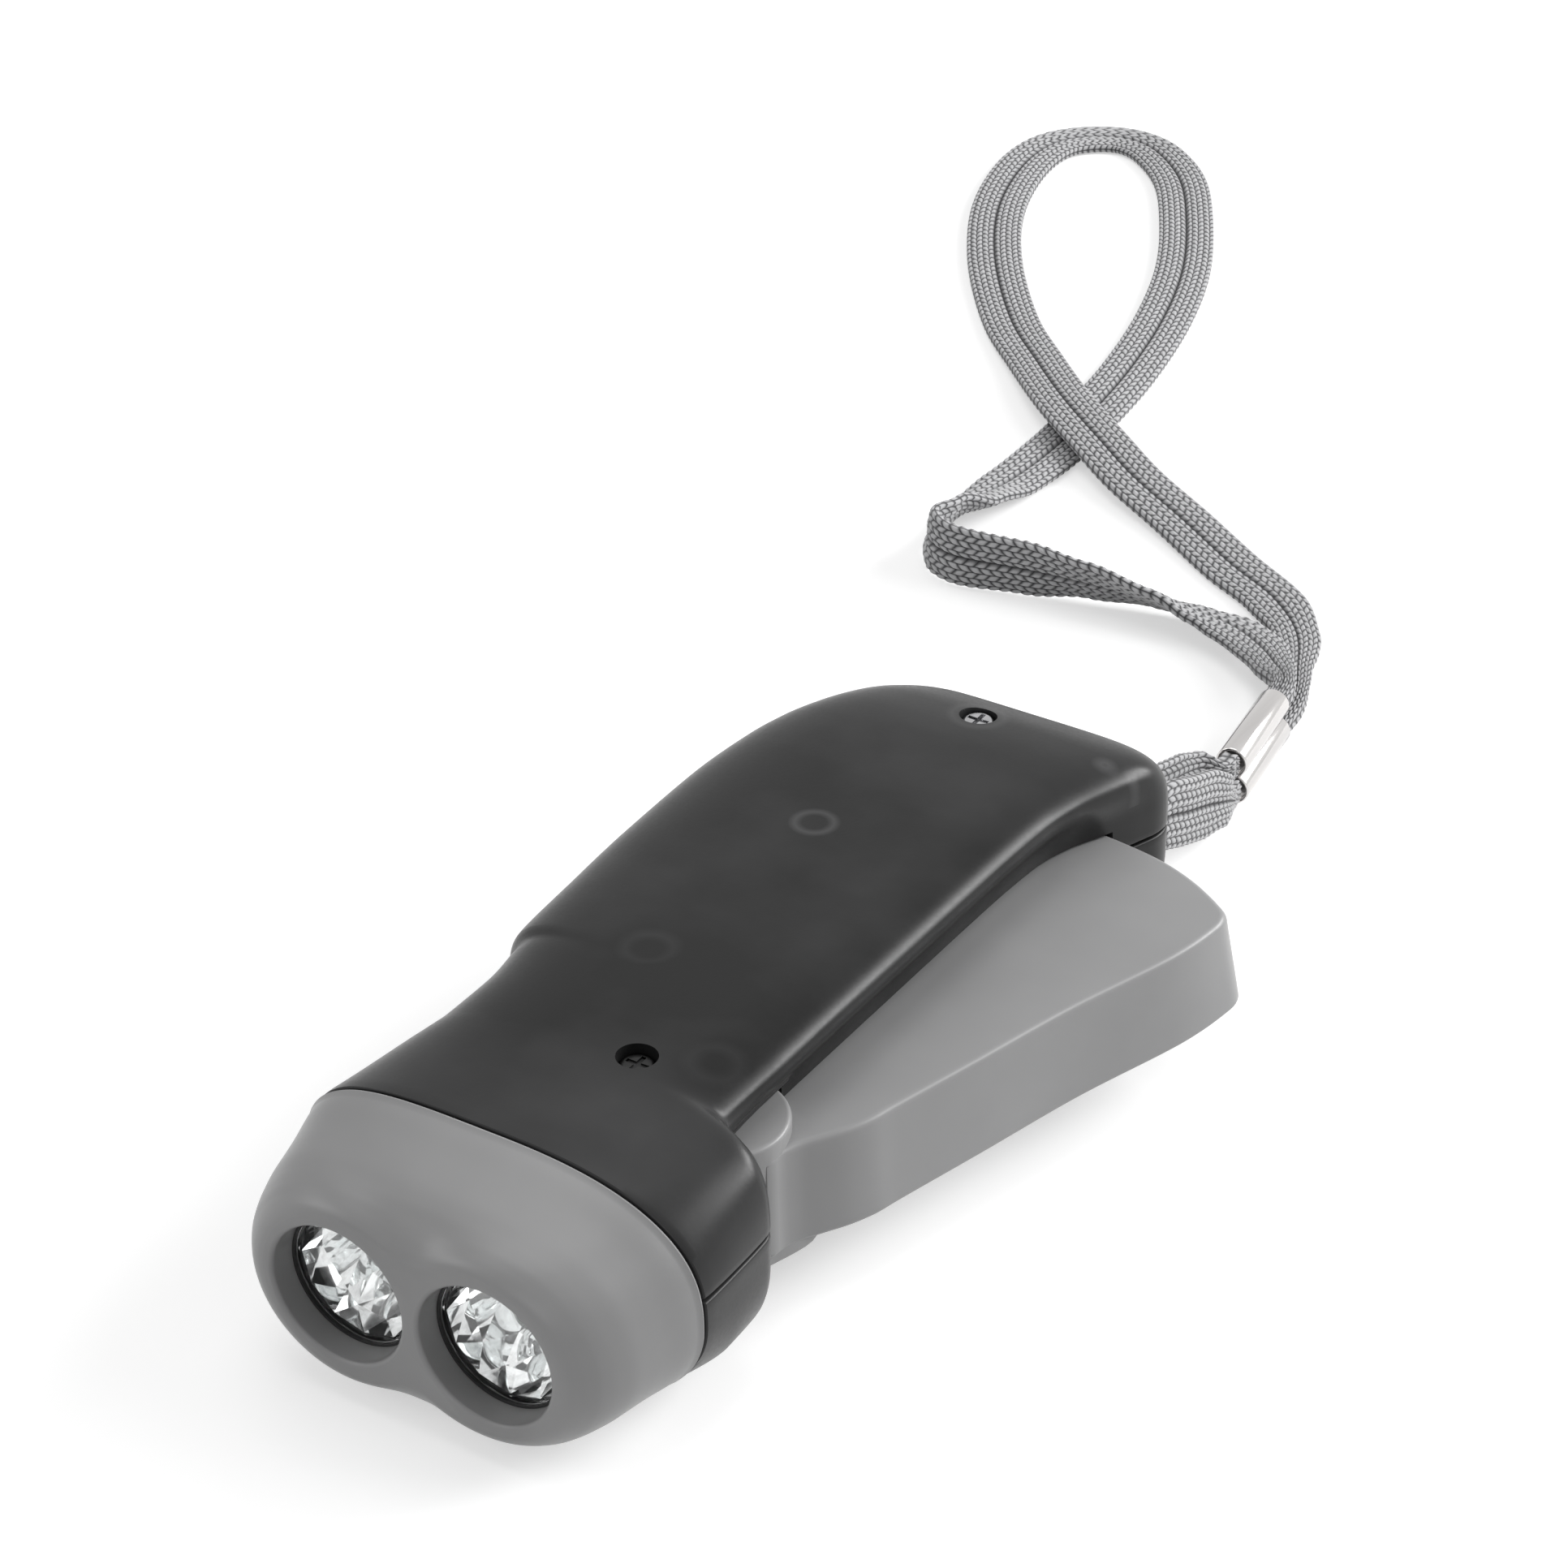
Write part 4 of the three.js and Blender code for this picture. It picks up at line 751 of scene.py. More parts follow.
def turned_outwards(made, name):
    """The closed skin as an object, its faces to the outside."""
    made.normal_update()
    if made.calc_volume(signed=True) < 0:
        bmesh.ops.reverse_faces(made, faces=made.faces)
    return mesh_object(made, name)


def solid_of(name, rings):
    """Skin over closed rings of equal count, with a face over each end."""
    made = bmesh.new()
    rows = [[made.verts.new(Vector(point) * MM) for point in ring] for ring in rings]
    bridge(made, rows)
    made.faces.new(rows[0][::-1])
    made.faces.new(rows[-1])
    return turned_outwards(made, name)


def half_shell(name, upper):
    """One half of the case, open at the seam with the bezel and closed at the rear."""
    stations = []
    for span in range(len(case_shares) - 1):
        length = (case_shares[span + 1][0] - case_shares[span][0]) * (rear_y - seam_y)
        steps = max(3, round(length / 0.7))
        stations += [span + k / steps for k in range(steps)]
    stations.append(len(case_shares) - 1)
    rings = []

    def add_ring(row, y, drawn_in, shrink=1.0, deeper=0.0):
        outer = half_profile(row, drawn_in, upper, edge_round)
        inner = half_profile(row, wall, upper, 0)
        level = parting_z + parting_gap * (1 if upper else -1)
        middle = (row[1] + row[2]) / 2 * case_width

        def shrunk(point):
            return (middle + (point[0] - middle) * shrink, level + (point[1] - level) * shrink)

        inner_y = min(y, rear_y - wall) if shrink == 1 else rear_y - wall + deeper
        ring = [(x, y + deeper, z) for x, z in map(shrunk, outer)]
        ring += [(x, inner_y, z) for x, z in map(shrunk, inner[::-1])]
        rings.append(ring)

    first = eased(case_shares, 0)
    for turn in (0, 30, 60):
        angle = math.radians(turn)
        drawn_in = edge_round * (1 - math.sin(angle))
        add_ring(first, seam_y + edge_round * (1 - math.cos(angle)), drawn_in)
    for at in stations[1:]:
        row = eased(case_shares, at)
        add_ring(row, station_y(row), 0)
    last = case_shares[-1]
    for shrink, deeper in closing_shares:
        add_ring(last, station_y(last), 0, shrink, deeper)
    return solid_of(name, rings)


def post(x, y, radius, low, high, sides=64, top=None):
    """An upright post between two heights, tapered where its top has a radius of its own."""
    clear_selection()
    top = radius if top is None else top
    bpy.ops.mesh.primitive_cone_add(
        vertices=sides, radius1=radius * MM, radius2=top * MM, depth=(high - low) * MM,
        location=(x * MM, y * MM, (low + high) / 2 * MM),
    )
    return bpy.context.object


def slab(low, high):
    clear_selection()
    bpy.ops.mesh.primitive_cube_add(size=1, location=(Vector(low) + Vector(high)) / 2 * MM)
    shape = bpy.context.object
    shape.scale = (Vector(high) - Vector(low)) * MM
    settle(shape)
    return shape


def joined(shapes):
    clear_selection()
    for shape in shapes:
        shape.select_set(True)
    bpy.context.view_layer.objects.active = shapes[0]
    bpy.ops.object.join()
    settle(bpy.context.object)
    return bpy.context.object


def combine(piece, tool, operation):
    """Joins the tool to the piece, or cuts it out of the piece."""
    clear_selection()
    bpy.context.view_layer.objects.active = piece
    step = piece.modifiers.new("step", "BOOLEAN")
    step.operation = operation
    step.solver = "EXACT"
    step.object = tool
    bpy.ops.object.modifier_apply(modifier="step")
    bpy.data.objects.remove(tool)


def finish_piece(piece, name, paint, body, slot, *nodes):
    piece.name = name
    settle(piece)
    piece.data.materials.clear()
    piece.data.materials.append(paint)
    bpy.ops.object.shade_smooth_by_angle(angle=math.radians(32))
    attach(piece, body)
    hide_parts(*nodes)


def own_place(tree):
    """The piece's own X, Y and Z, in metres."""
    place = tree.nodes.new("ShaderNodeTexCoord")
    parts = tree.nodes.new("ShaderNodeSeparateXYZ")
    tree.links.new(place.outputs["Object"], parts.inputs["Vector"])
    return parts.outputs


def ring_mark(tree, x, y, radius, width):
    """1 on a faint ring about a point on the shell's top, 0 elsewhere: traces of posts, and painted
    glints.
    """
    own = own_place(tree)
    over = calc(tree, "SUBTRACT", own["X"], x * MM)
    along = calc(tree, "SUBTRACT", own["Y"], y * MM)
    squares = calc(tree, "ADD", calc(tree, "POWER", over, 2), calc(tree, "POWER", along, 2))
    off = calc(tree, "ABSOLUTE", calc(tree, "SUBTRACT", calc(tree, "SQRT", squares), radius * MM))
    near = calc(tree, "SUBTRACT", 1, calc(tree, "DIVIDE", off, width * MM))
    above = calc(tree, "GREATER_THAN", own["Z"], 20 * MM)
    return calc(tree, "MULTIPLY", calc(tree, "MAXIMUM", near, 0), above)


def smoky_paint():
    """Smoky plastic with faint clouds, painted highlight in front, traces of the posts, two painted
    glints.
    """
    paint, tree, shader = new_paint("smoky plastic")
    shader.inputs["Specular IOR Level"].default_value = 0.2
    cloud = speckle(tree, 38)
    # Painted highlight: the colour is lifted towards the lamps, from nothing at y -20 mm to full at
    # -34 mm, over the head's shoulder.
    lamp_end_painted_highlight = calc(tree, "DIVIDE", calc(
        tree, "SUBTRACT", -20 * MM, own_place(tree)["Y"]), 14 * MM)
    lamp_end_painted_highlight = calc(tree, "MINIMUM", calc(tree, "MAXIMUM", lamp_end_painted_highlight, 0), 1)
    marks = calc(tree, "ADD", calc(tree, "MULTIPLY", cloud, 0.85), calc(
        tree, "MULTIPLY", lamp_end_painted_highlight, 0.14))
    for x, y, radius, width, depth in (
        (-2.9, 17.2, 1.9, 0.7, 0.4), (-4.3, -9.2, 2.2, 1.2, 0.12), (10.5, -21.0, 2.2, 1.2, 0.08),
        # These two small rings fill in as pale spots on the right shoulder near the rear: painted
        # highlight.
        (15.1, 42.4, 0.4, 1.1, 0.4), (17.6, 43.4, 0.2, 0.8, 0.4),
        (0.1, 43.5, 2.6, 0.8, 0.2),
    ):
        marks = calc(tree, "ADD", marks, calc(
            tree, "MULTIPLY", ring_mark(tree, x, y, radius, width), depth))
    coloured(tree, shader, marks, (0.38, (0.003, 0.003, 0.003)), (1, (0.06, 0.06, 0.061)))
    fine = speckle(tree, 2600, 2)
    roughened(tree, shader, fine, 0.14, 0.25)
    raised(tree, shader, fine, 0.18, 0.02)
    return paint


def slot_tools():
    """What is cut from both halves for the lever: its slot, its hub's notch and its foot's."""
    x, y = pivot
    inner = x - slot_inner
    outline = [(inner, y), (x + slot_front, y)]
    for i in range(slot_steps + 1):
        angle = math.radians(30 + 60 * i / slot_steps)
        outline.append((x + slot_reach * math.cos(angle), y + slot_reach * math.sin(angle)))
    outline.append((inner, y + slot_reach))
    panel = solid_of("slot", [[(px, py, z) for px, py in outline] for z in (slot_low, slot_high)])
    notch = post(x, y, notch_radius, notch_low, notch_high, 96)
    foot = post(x, y, foot_notch_radius, notch_low, foot_notch_high, 96)
    combine(foot, slab((x, y, 0), (x + 30, y + 30, 20)), "INTERSECT")
    return [panel, notch, foot]


def lip_ribs():
    """Two thin ribs that run along the shell's side above the lever's hub."""
    ribs = []
    for z in (rib_low, rib_low + rib_spacing):
        rings = []
        for k in range(rib_steps + 1):
            at = rib_from + rib_span * k / rib_steps
            row = eased(case_shares, next(
                i + (at - a[0]) / (b[0] - a[0])
                for i, (a, b) in enumerate(zip(case_shares, case_shares[1:])) if a[0] <= at <= b[0]
            ))
            rise = (z - case_middle) / (row[3] * case_height)
            angle = math.asin(rise ** (roundness_at(row[0], 1.0) / 2))
            x, _ = section_point(row, 0, angle)
            fade = math.sin(math.pi * k / rib_steps) ** 0.3 if 0 < k < rib_steps else 0.05
            proud = rib_proud * fade
            section = [
                (-rib_root, 0), (proud * 0.7, 0.04), (proud, rib_thickness / 2),
                (proud * 0.7, rib_thickness - 0.04), (-rib_root, rib_thickness),
            ]
            rings.append([(x + out, station_y(row), z + up) for out, up in section])
        ribs.append(solid_of("rib", rings))
    return ribs


def inside_skin():
    """The room within the skin, for trimming what stands in it."""
    rings = []
    for k in range(3 * (len(case_shares) - 1) + 1):
        row = eased(case_shares, k / 3)
        rings.append([(x, station_y(row), z) for x, z in case_outline(row, 0.8, 0, 60)[:-1]])
    return solid_of("inside", rings)


def case_half(name, upper):
    shell = half_shell(name, upper)
    level = parting_z + parting_gap * (1 if upper else -1)
    low, high = (level, post_head) if upper else (post_foot, level)
    posts = [post(x, y, screw_post_radius, low, high) for x, y in screw_places]
    for (x, y), radius, below, above in axle_posts:
        if upper:
            posts.append(post(x, y, radius, max(level, above), post_head))
        else:
            posts.append(post(x, y, radius, post_foot, min(level, below)))
    if not upper:
        for x, y in stack_posts:
            posts.append(post(x, y, stack_post_radius, post_foot, stack_post_top, 32))
    posts = joined(posts)
    combine(posts, inside_skin(), "INTERSECT")
    combine(shell, posts, "UNION")
    if upper:
        for rib in lip_ribs():
            combine(shell, rib, "UNION")
    for tool in slot_tools():
        combine(shell, tool, "DIFFERENCE")
    for x, y in screw_places:
        combine(shell, post(x, y, screw_hole_radius, 2, 24, 32), "DIFFERENCE")
        if upper:
            head = post(x, y, counterbore_radius, screw_head_z, 27, 64, counterbore_mouth)
            combine(shell, head, "DIFFERENCE")
    for window in (strap_window, switch_window):
        combine(shell, slab(*window), "DIFFERENCE")
    return shell


smoky = smoky_paint()
upper_half = case_half("upper_half", True)
lower_half = case_half("lower_half", False)
finish_piece(upper_half, "upper_half", smoky, "case", "shell", "top_shell")
finish_piece(lower_half, "lower_half", smoky, "case", "shell", "bottom_shell")

# Bezel. One moulding in satin gray plastic that closes the front: the oval of the case runs into
# two round lobes, one about each lamp, with rounded lips round the bores.
front_y = -52
bezel_length = 12.4
lamp_spacing = 15.6
lamp_x = -0.7
lamp_z = 11.6
lobe_radius = 10.4
lobe_height = 9.7
saddle_depth = 1.9
bore_radius = 6.9
lip_radius = 0.45
bore_end = -37.2
sleeve_radius = 8.15
lobe_smoothing = 26
bezel_points = 240
# Share of the length, change from the case's outline to the lobes, size of the lobes, waist.
bezel_shares = [
    (1, 0, 1, 0),
    (0.86, 0.1, 1, 0),
    (0.7, 0.26, 1.005, 0),
    (0.54, 0.43, 1.02, 0),
    (0.39, 0.6, 1.03, 0.03),
    (0.27, 0.76, 1.025, 0.1),
    (0.17, 0.89, 1.01, 0.25),
    (0.095, 0.97, 0.98, 0.45),
    (0.04, 1, 0.94, 0.7),
    (0.01, 1, 0.895, 0.9),
    (0, 1, 0.865, 1),
]


def lobe_reaches(waist):
    """Reach from the middle of the pair in each direction, smoothed a little."""
    half = lamp_spacing / 2
    corner = math.sin(math.atan2(lobe_height, half))
    reaches = []
    for i in range(bezel_points):
        angle = 2 * math.pi * i / bezel_points
        side, rise = abs(math.cos(angle)), abs(math.sin(angle))
        steep = (side / lobe_radius) ** 2 + (rise / lobe_height) ** 2
        toward = half * side / lobe_radius ** 2
        past = 1 - (half / lobe_radius) ** 2
        lobes = (toward + math.sqrt(toward ** 2 + steep * past)) / steep
        oval = 1 / math.hypot(side / (half + lobe_radius), rise / (lobe_height - saddle_depth))
        waisted = max(oval, lobes)
        straight = lobe_height / rise if rise > corner else waisted
        reaches.append(straight + (waisted - straight) * waist)
    for _ in range(lobe_smoothing):
        reaches = [
            (reaches[i - 1] + 2 * reaches[i] + reaches[(i + 1) % bezel_points]) / 4
            for i in range(bezel_points)
        ]
    return reaches


def seam_ring(inset):
    """The case's outline at the seam, with as many points as the lobes have."""
    ring = []
    for i in range(bezel_points):
        ring.append(section_point(case_shares[0], inset, 2 * math.pi * i / bezel_points))
    return ring


def bezel_ring(row, inset, seam):
    back, change, size, waist = row
    ring = []
    for i, ((x, z), reach) in enumerate(zip(seam, lobe_reaches(waist))):
        angle = 2 * math.pi * i / bezel_points
        radius = reach * size - inset
        there = (lamp_x + radius * math.cos(angle), lamp_z + radius * math.sin(angle))
        ring.append((
            x + (there[0] - x) * change, front_y + back * bezel_length,
            max(inset, z + (there[1] - z) * change),
        ))
    return ring


def bezel_skin():
    outer_seam, inner_seam = seam_ring(0), seam_ring(wall)
    steps = 7
    rings = []
    for depth in (0.0, 0.1, edge_round):
        inset = edge_round - math.sqrt(edge_round ** 2 - (edge_round - depth) ** 2)
        rings.append([(x, seam_y - edge_round - depth, z) for x, z in seam_ring(inset)])
    inner = []
    for k in range(steps * (len(bezel_shares) - 1) + 1):
        row = eased(bezel_shares, k / steps)
        if row[0] < 0.93:
            rings.append(bezel_ring(row, 0, outer_seam))
        if 0.26 <= row[0] < 0.96:
            inner.append(bezel_ring(row, wall, inner_seam))
    back = [(x, seam_y - edge_round, z) for x, _, z in inner[0]]
    return solid_of("bezel", [*inner[::-1], back, *rings])


def turned_form(name, profile, sides=96):
    """A form turned about the y axis from radius, y points; a radius of 0 closes it."""
    rings = []
    for radius, y in profile:
        rings.append([
            (
                max(radius, 1e-3) * math.cos(2 * math.pi * i / sides), y,
                max(radius, 1e-3) * math.sin(2 * math.pi * i / sides),
            )
            for i in range(sides)
        ])
    return solid_of(name, rings)


def moved(shape, place):
    shape.location = Vector(place) * MM
    settle(shape)
    return shape


def bore_tool(x):
    """What is cut from the bezel for one lamp, with a rounded lip in front."""
    lip = []
    for turn in range(0, 91, 10):
        angle = math.radians(turn)
        lip.append((
            bore_radius + lip_radius * (1 - math.sin(angle)),
            front_y + lip_radius * (1 - math.cos(angle)),
        ))
    profile = [(bore_radius + lip_radius, front_y - 5), *lip, (bore_radius, bore_end)]
    return moved(turned_form("bore", profile, 128), (x, 0, lamp_z))


def satin_paint(name, colour, roughness, specular=0.5):
    """Satin moulded plastic: fine grain, and slight flow marks in its shade."""
    paint, tree, shader = new_paint(name)
    shader.inputs["Specular IOR Level"].default_value = specular
    dark, pale = [c * 0.93 for c in colour], [min(1, c * 1.05) for c in colour]
    coloured(tree, shader, speckle(tree, 60, 3), (0.3, dark), (0.7, pale))
    fine = speckle(tree, 3200, 2)
    roughened(tree, shader, fine, 0.12, roughness - 0.06)
    raised(tree, shader, fine, 0.15, 0.02)
    return paint


lamp_places = [("left", lamp_x - lamp_spacing / 2), ("right", lamp_x + lamp_spacing / 2)]
bezel = bezel_skin()
for _, x in lamp_places:
    ends = [(sleeve_radius, front_y + 1.5), (sleeve_radius, seam_y - edge_round)]
    sleeve = turned_form("sleeve", ends)
    combine(bezel, moved(sleeve, (x, 0, lamp_z)), "UNION")
for _, x in lamp_places:
    combine(bezel, bore_tool(x), "DIFFERENCE")
satin_gray = satin_paint("satin gray plastic", (0.255, 0.255, 0.257), 0.36, 0.4)
finish_piece(bezel, "bezel", satin_gray, "case", "gray_plastic", "front_bezel")

# Lamps. Each is a clear domed lens in a thin black ring, over a bright metallised cup of flat
# facets, round a clear round-nosed diode that stands on the board behind.
lens_front = -49
lens_back = -47.9
lens_radius = 6.72
lens_edge = 0.15
cup_depth = 7.6
cup_throat = 2.8
cup_sheet = 0.25
cup_tiers = [0, 0.14, 0.38, 0.68, 1]
facet_count = 12
facet_swing = 0.28
facet_lift = 0.45
diode_radius = 2.5
diode_nose = -43.3
diode_foot = [(diode_radius, -38.7), (2.9, -38.6), (2.9, -37.75), (2.8, -37.7), (0, -37.7)]
ring_profile = [(6.62, -49.2), (6.87, -49.2), (6.87, -48.7), (6.78, -48.7), (6.78, -49.08)]
ring_profile.append((6.62, -49.1))


def clear_paint(name, tint, roughness):
    paint, tree, shader = new_paint(name)
    shader.inputs["Base Color"].default_value = (*tint, 1)
    shader.inputs["Transmission Weight"].default_value = 1.0
    shader.inputs["IOR"].default_value = 1.49
    roughened(tree, shader, speckle(tree, 700, 3), 0.04, roughness)
    return paint


def mirror_paint():
    """Bright vacuum-plated plastic: nearly a mirror, with a few duller specks."""
    paint, tree, shader = new_paint("metallised cup")
    shader.inputs["Metallic"].default_value = 1.0
    specks = speckle(tree, 1100)
    coloured(tree, shader, specks, (0.3, (0.8, 0.8, 0.8)), (0.5, (0.98, 0.98, 0.98)))
    roughened(tree, shader, specks, 0.07, 0)
    return paint


def lens_form():
    profile = [(0, lens_back), (lens_radius - 0.2, lens_back), (lens_radius, lens_back - lens_edge)]
    profile.append((lens_radius, lens_front + 0.35))
    for k in range(13):
        radius = (lens_radius - lens_edge) * (1 - k / 12)
        profile.append((radius, lens_front + 0.25 - 0.5 * (1 - (radius / lens_radius) ** 2)))
    return turned_form("lens", profile, 96)


def cup_form(seed):
    """Open cup of flat facets, tilted a little this way and that."""
    chance = random.Random(seed)
    made = bmesh.new()
    rows = []
    for tier, share in enumerate(cup_tiers):
        radius = cup_throat + (lens_radius - lens_edge - cup_throat) * math.sqrt(share)
        y = lens_back + 0.05 + cup_depth * (1 - share)
        between = 0 < tier < len(cup_tiers) - 1
        row = []
        for i in range(facet_count):
            swing = chance.uniform(-facet_swing, facet_swing) if between else 0
            lift = chance.uniform(-facet_lift, facet_lift) if between else 0
            angle = 2 * math.pi * (i + 0.5 * (tier % 2) + swing) / facet_count
            row.append(made.verts.new(Vector(
                (radius * math.cos(angle), y + lift, radius * math.sin(angle))
            ) * MM))
        rows.append(row)
    for tier, (lower, upper) in enumerate(zip(rows, rows[1:])):
        for i in range(facet_count):
            k = (i + 1) % facet_count
            if tier % 2:
                made.faces.new((lower[i], upper[k], upper[i]))
                made.faces.new((lower[i], lower[k], upper[k]))
            else:
                made.faces.new((lower[i], lower[k], upper[i]))
                made.faces.new((lower[k], upper[k], upper[i]))
    bmesh.ops.recalc_face_normals(made, faces=made.faces)
    cup = mesh_object(made, "cup")
    clear_selection()
    bpy.context.view_layer.objects.active = cup
    sheet = cup.modifiers.new("sheet", "SOLIDIFY")
    sheet.thickness = cup_sheet * MM
    sheet.offset = 1.0
    bpy.ops.object.modifier_apply(modifier="sheet")
    return cup


def ring_form(profile, sides=96):
    """A closed ring turned about the y axis from a closed profile of radius, y points."""
    made = bmesh.new()
    rows = []
    for i in range(sides):
        turn = 2 * math.pi * i / sides
        rows.append([
            made.verts.new(Vector((r * math.cos(turn), y, r * math.sin(turn))) * MM)
            for r, y in profile
        ])
    bridge(made, rows + rows[:1])
    return turned_outwards(made, "ring")


def diode_form():
    profile = []
    for turn in range(0, 91, 10):
        angle = math.radians(turn)
        profile.append((
            diode_radius * math.sin(angle), diode_nose - diode_radius * math.cos(angle)
        ))
    return turned_form("diode", profile + diode_foot, 48)


clear_lens = clear_paint("clear lens", (0.97, 0.98, 0.98), 0.0)
clear_diode = clear_paint("clear diode", (0.9, 0.92, 0.92), 0.05)
cup_metal = mirror_paint()
rubber = satin_paint("black ring", (0.012, 0.012, 0.012), 0.5)
for count, (side, x) in enumerate(lamp_places):
    place = (x, 0, lamp_z)
    gasket = moved(ring_form(ring_profile), place)
    finish_piece(gasket, "ring_" + side, rubber, "case", "gray_plastic")
    lens = moved(lens_form(), place)
    finish_piece(lens, "lens_" + side + "_clear", clear_lens, "case", "lens", "lens_" + side)
    cup = moved(cup_form(11 + count), place)
    finish_piece(cup, "cup_" + side, cup_metal, "case", "reflector", "reflector_" + side)
    bpy.ops.object.shade_flat()
    diode = moved(diode_form(), place)
    finish_piece(diode, "diode_" + side, clear_diode, "case", "lamp", "led_" + side)

# Squeeze lever. One satin gray moulding in the side of the case, turning on a pin near the lamps.
# It is a hollow shell, open inwards, with rounded edges and a stepped round hub.
lever_reach = 62
lever_low = 6.8
lever_high = 17.7
lever_flare = 0.042
lever_edge = 0.7
lever_wall = 1.6
lever_end_wall = 1.3
lever_ease = 0.998
hub_low = 5.7
hub_high = 19.3
hub_radius = 6.8
hub_edge = 0.5
hub_core = 3.4
hub_room = 5.2
sector_low, sector_high = 9.1, 15.8
pin_hole = 1.65
foot_reach = 9.5
foot_thickness = 3
# The lever's outline from its hub, as shares of its reach.
lever_shares = [
    (0.032, 0.1),
    (0.05, -0.035),
    (0.106, -0.03),
    (0.112, 0.002),
    (0.122, 0.03),
    (0.14, 0.061),
    (0.162, 0.098),
    (0.179, 0.138),
    (0.19, 0.181),
    (0.232, 0.335),
    (0.285, 0.534),
    (0.353, 0.744),
    (0.369, 0.83),
    (0.371, 0.868),
    (0.362, 0.892),
    (0.34, 0.911),
    (0.28, 0.948),
    (0.219, 0.973),
    (0.152, 0.988),
    (0.09, 0.996),
    (0.0385, 0.999),
    (0.033, 0.998),
    (0.032, 0.99),
    (0.032, 0.8),
    (0.032, 0.45),
]
foot_shares = [(0.8, 0.17), (0.84, 0.39), (0.77, 0.63), (0.6, 0.68), (0.22, 0.68)]


def drawn_in(outline, inset):
    """The closed outline's corners moved inwards by the inset."""
    found = []
    count = len(outline)
    for i, point in enumerate(outline):
        before = Vector(point) - Vector(outline[i - 1])
        after = Vector(outline[(i + 1) % count]) - Vector(point)
        side_a = Vector((-before.y, before.x)).normalized()
        side_b = Vector((-after.y, after.x)).normalized()
        between = (side_a + side_b).normalized()
        found.append(Vector(point) + between * (inset / max(0.35, between.dot(side_a))))
    return found


def rounded_line(outline, step):
    """A smooth closed line through the outline's points, in steps of about one length."""
    count = len(outline)
    line = []
    for i in range(count):
        a, b, c, d = [Vector(outline[(i + k) % count]) for k in (-1, 0, 1, 2)]
        curve = curve_between(a, b, c, d)
        pieces = max(1, round((c - b).length / step))
        line += [curve(k / pieces) for k in range(pieces)]
    return line


def moulded_block(name, outline, low, high, edge, scale_at=lambda z: 1.0, cap=1e9, step=0.6):
    """A block over an outline that runs anticlockwise, its upper and lower edges rounded."""
    smooth = rounded_line(outline, step)
    levels = []
    for turn in range(0, 91, 15):
        angle = math.radians(turn)
        levels.append((edge * (1 - math.sin(angle)), low + edge * (1 - math.cos(angle))))
    middle = [low + edge + (high - low - 2 * edge) * k / 8 for k in range(1, 8)]
    levels += [(0, z) for z in middle]
    levels += [(inset, low + high - z) for inset, z in reversed(levels[:7])]
    rings = []
    for inset, z in levels:
        ring = []
        for point in drawn_in(smooth, inset):
            point = point * scale_at(z)
            if point.length > cap - inset:
                point = point * ((cap - inset) / point.length)
            ring.append((point.x, point.y, z))
        rings.append(ring)
    return solid_of(name, rings)


def lever_scale(z):
    return 1 + lever_flare * (lever_high - z) / (lever_high - lever_low)


def arc_points(radius, start, end, step=6):
    count = max(1, round((end - start) / step))
    angles = [math.radians(start + (end - start) * k / count) for k in range(count + 1)]
    return [(radius * math.cos(a), radius * math.sin(a)) for a in angles]


def squeeze_lever():
    """The hollow arm with its hub and foot, with room for the sector gear and its pin."""
    outline = [(x * lever_reach * lever_ease, y * lever_reach) for x, y in lever_shares]
    lever = moulded_block(
        "lever", outline, lever_low, lever_high, lever_edge, lever_scale, lever_reach
    )
    hollow_line = [(x - lever_wall, y - lever_end_wall) for x, y in outline]
    hollow = moulded_block(
        "hollow", hollow_line, lever_low + lever_wall, lever_high - lever_wall, 0.01,
        lever_scale, lever_reach - lever_end_wall,
    )
    combine(lever, hollow, "DIFFERENCE")
    round_part = [(0, 0), *arc_points(hub_radius, -62, 92)]
    hub = moulded_block("hub", round_part, hub_low, hub_high, hub_edge, step=5)
    foot_line = [(0, 0), *arc_points(hub_radius, -62, -12)]
    foot_line += [(x * foot_reach, y * foot_reach) for x, y in foot_shares]
    foot = moulded_block(
        "foot", foot_line, hub_low, hub_low + foot_thickness, hub_edge, step=1.2
    )
    for shape in (hub, foot, post(0, 0, hub_core, hub_low, hub_high)):
        combine(lever, shape, "UNION")
    beside_hub = slab((-lever_reach, 0, sector_low), (-hub_radius, lever_reach, sector_high))
    hole = post(0, 0, pin_hole, 0, case_height, 32)
    for room in (post(0, 0, hub_room, sector_low, sector_high), beside_hub, hole):
        combine(lever, room, "DIFFERENCE")
    return moved(lever, (*pivot, 0))


lever = squeeze_lever()
finish_piece(lever, "squeeze_handle", satin_gray, "lever", "gray_plastic", "squeeze_lever")

# Screws. Two small steel screws with a cross recess, sunk below the shell's top. The front one is
# painted nearly black, the rear one is bright.
screw_head_low = 22.1
screw_head_high = 24.2
screw_shank = 0.9
screw_root = 0.72
screw_pitch = 0.6
screw_end = 13.4
cross_length = 1.15
cross_width = 0.24
cross_depth = 0.6


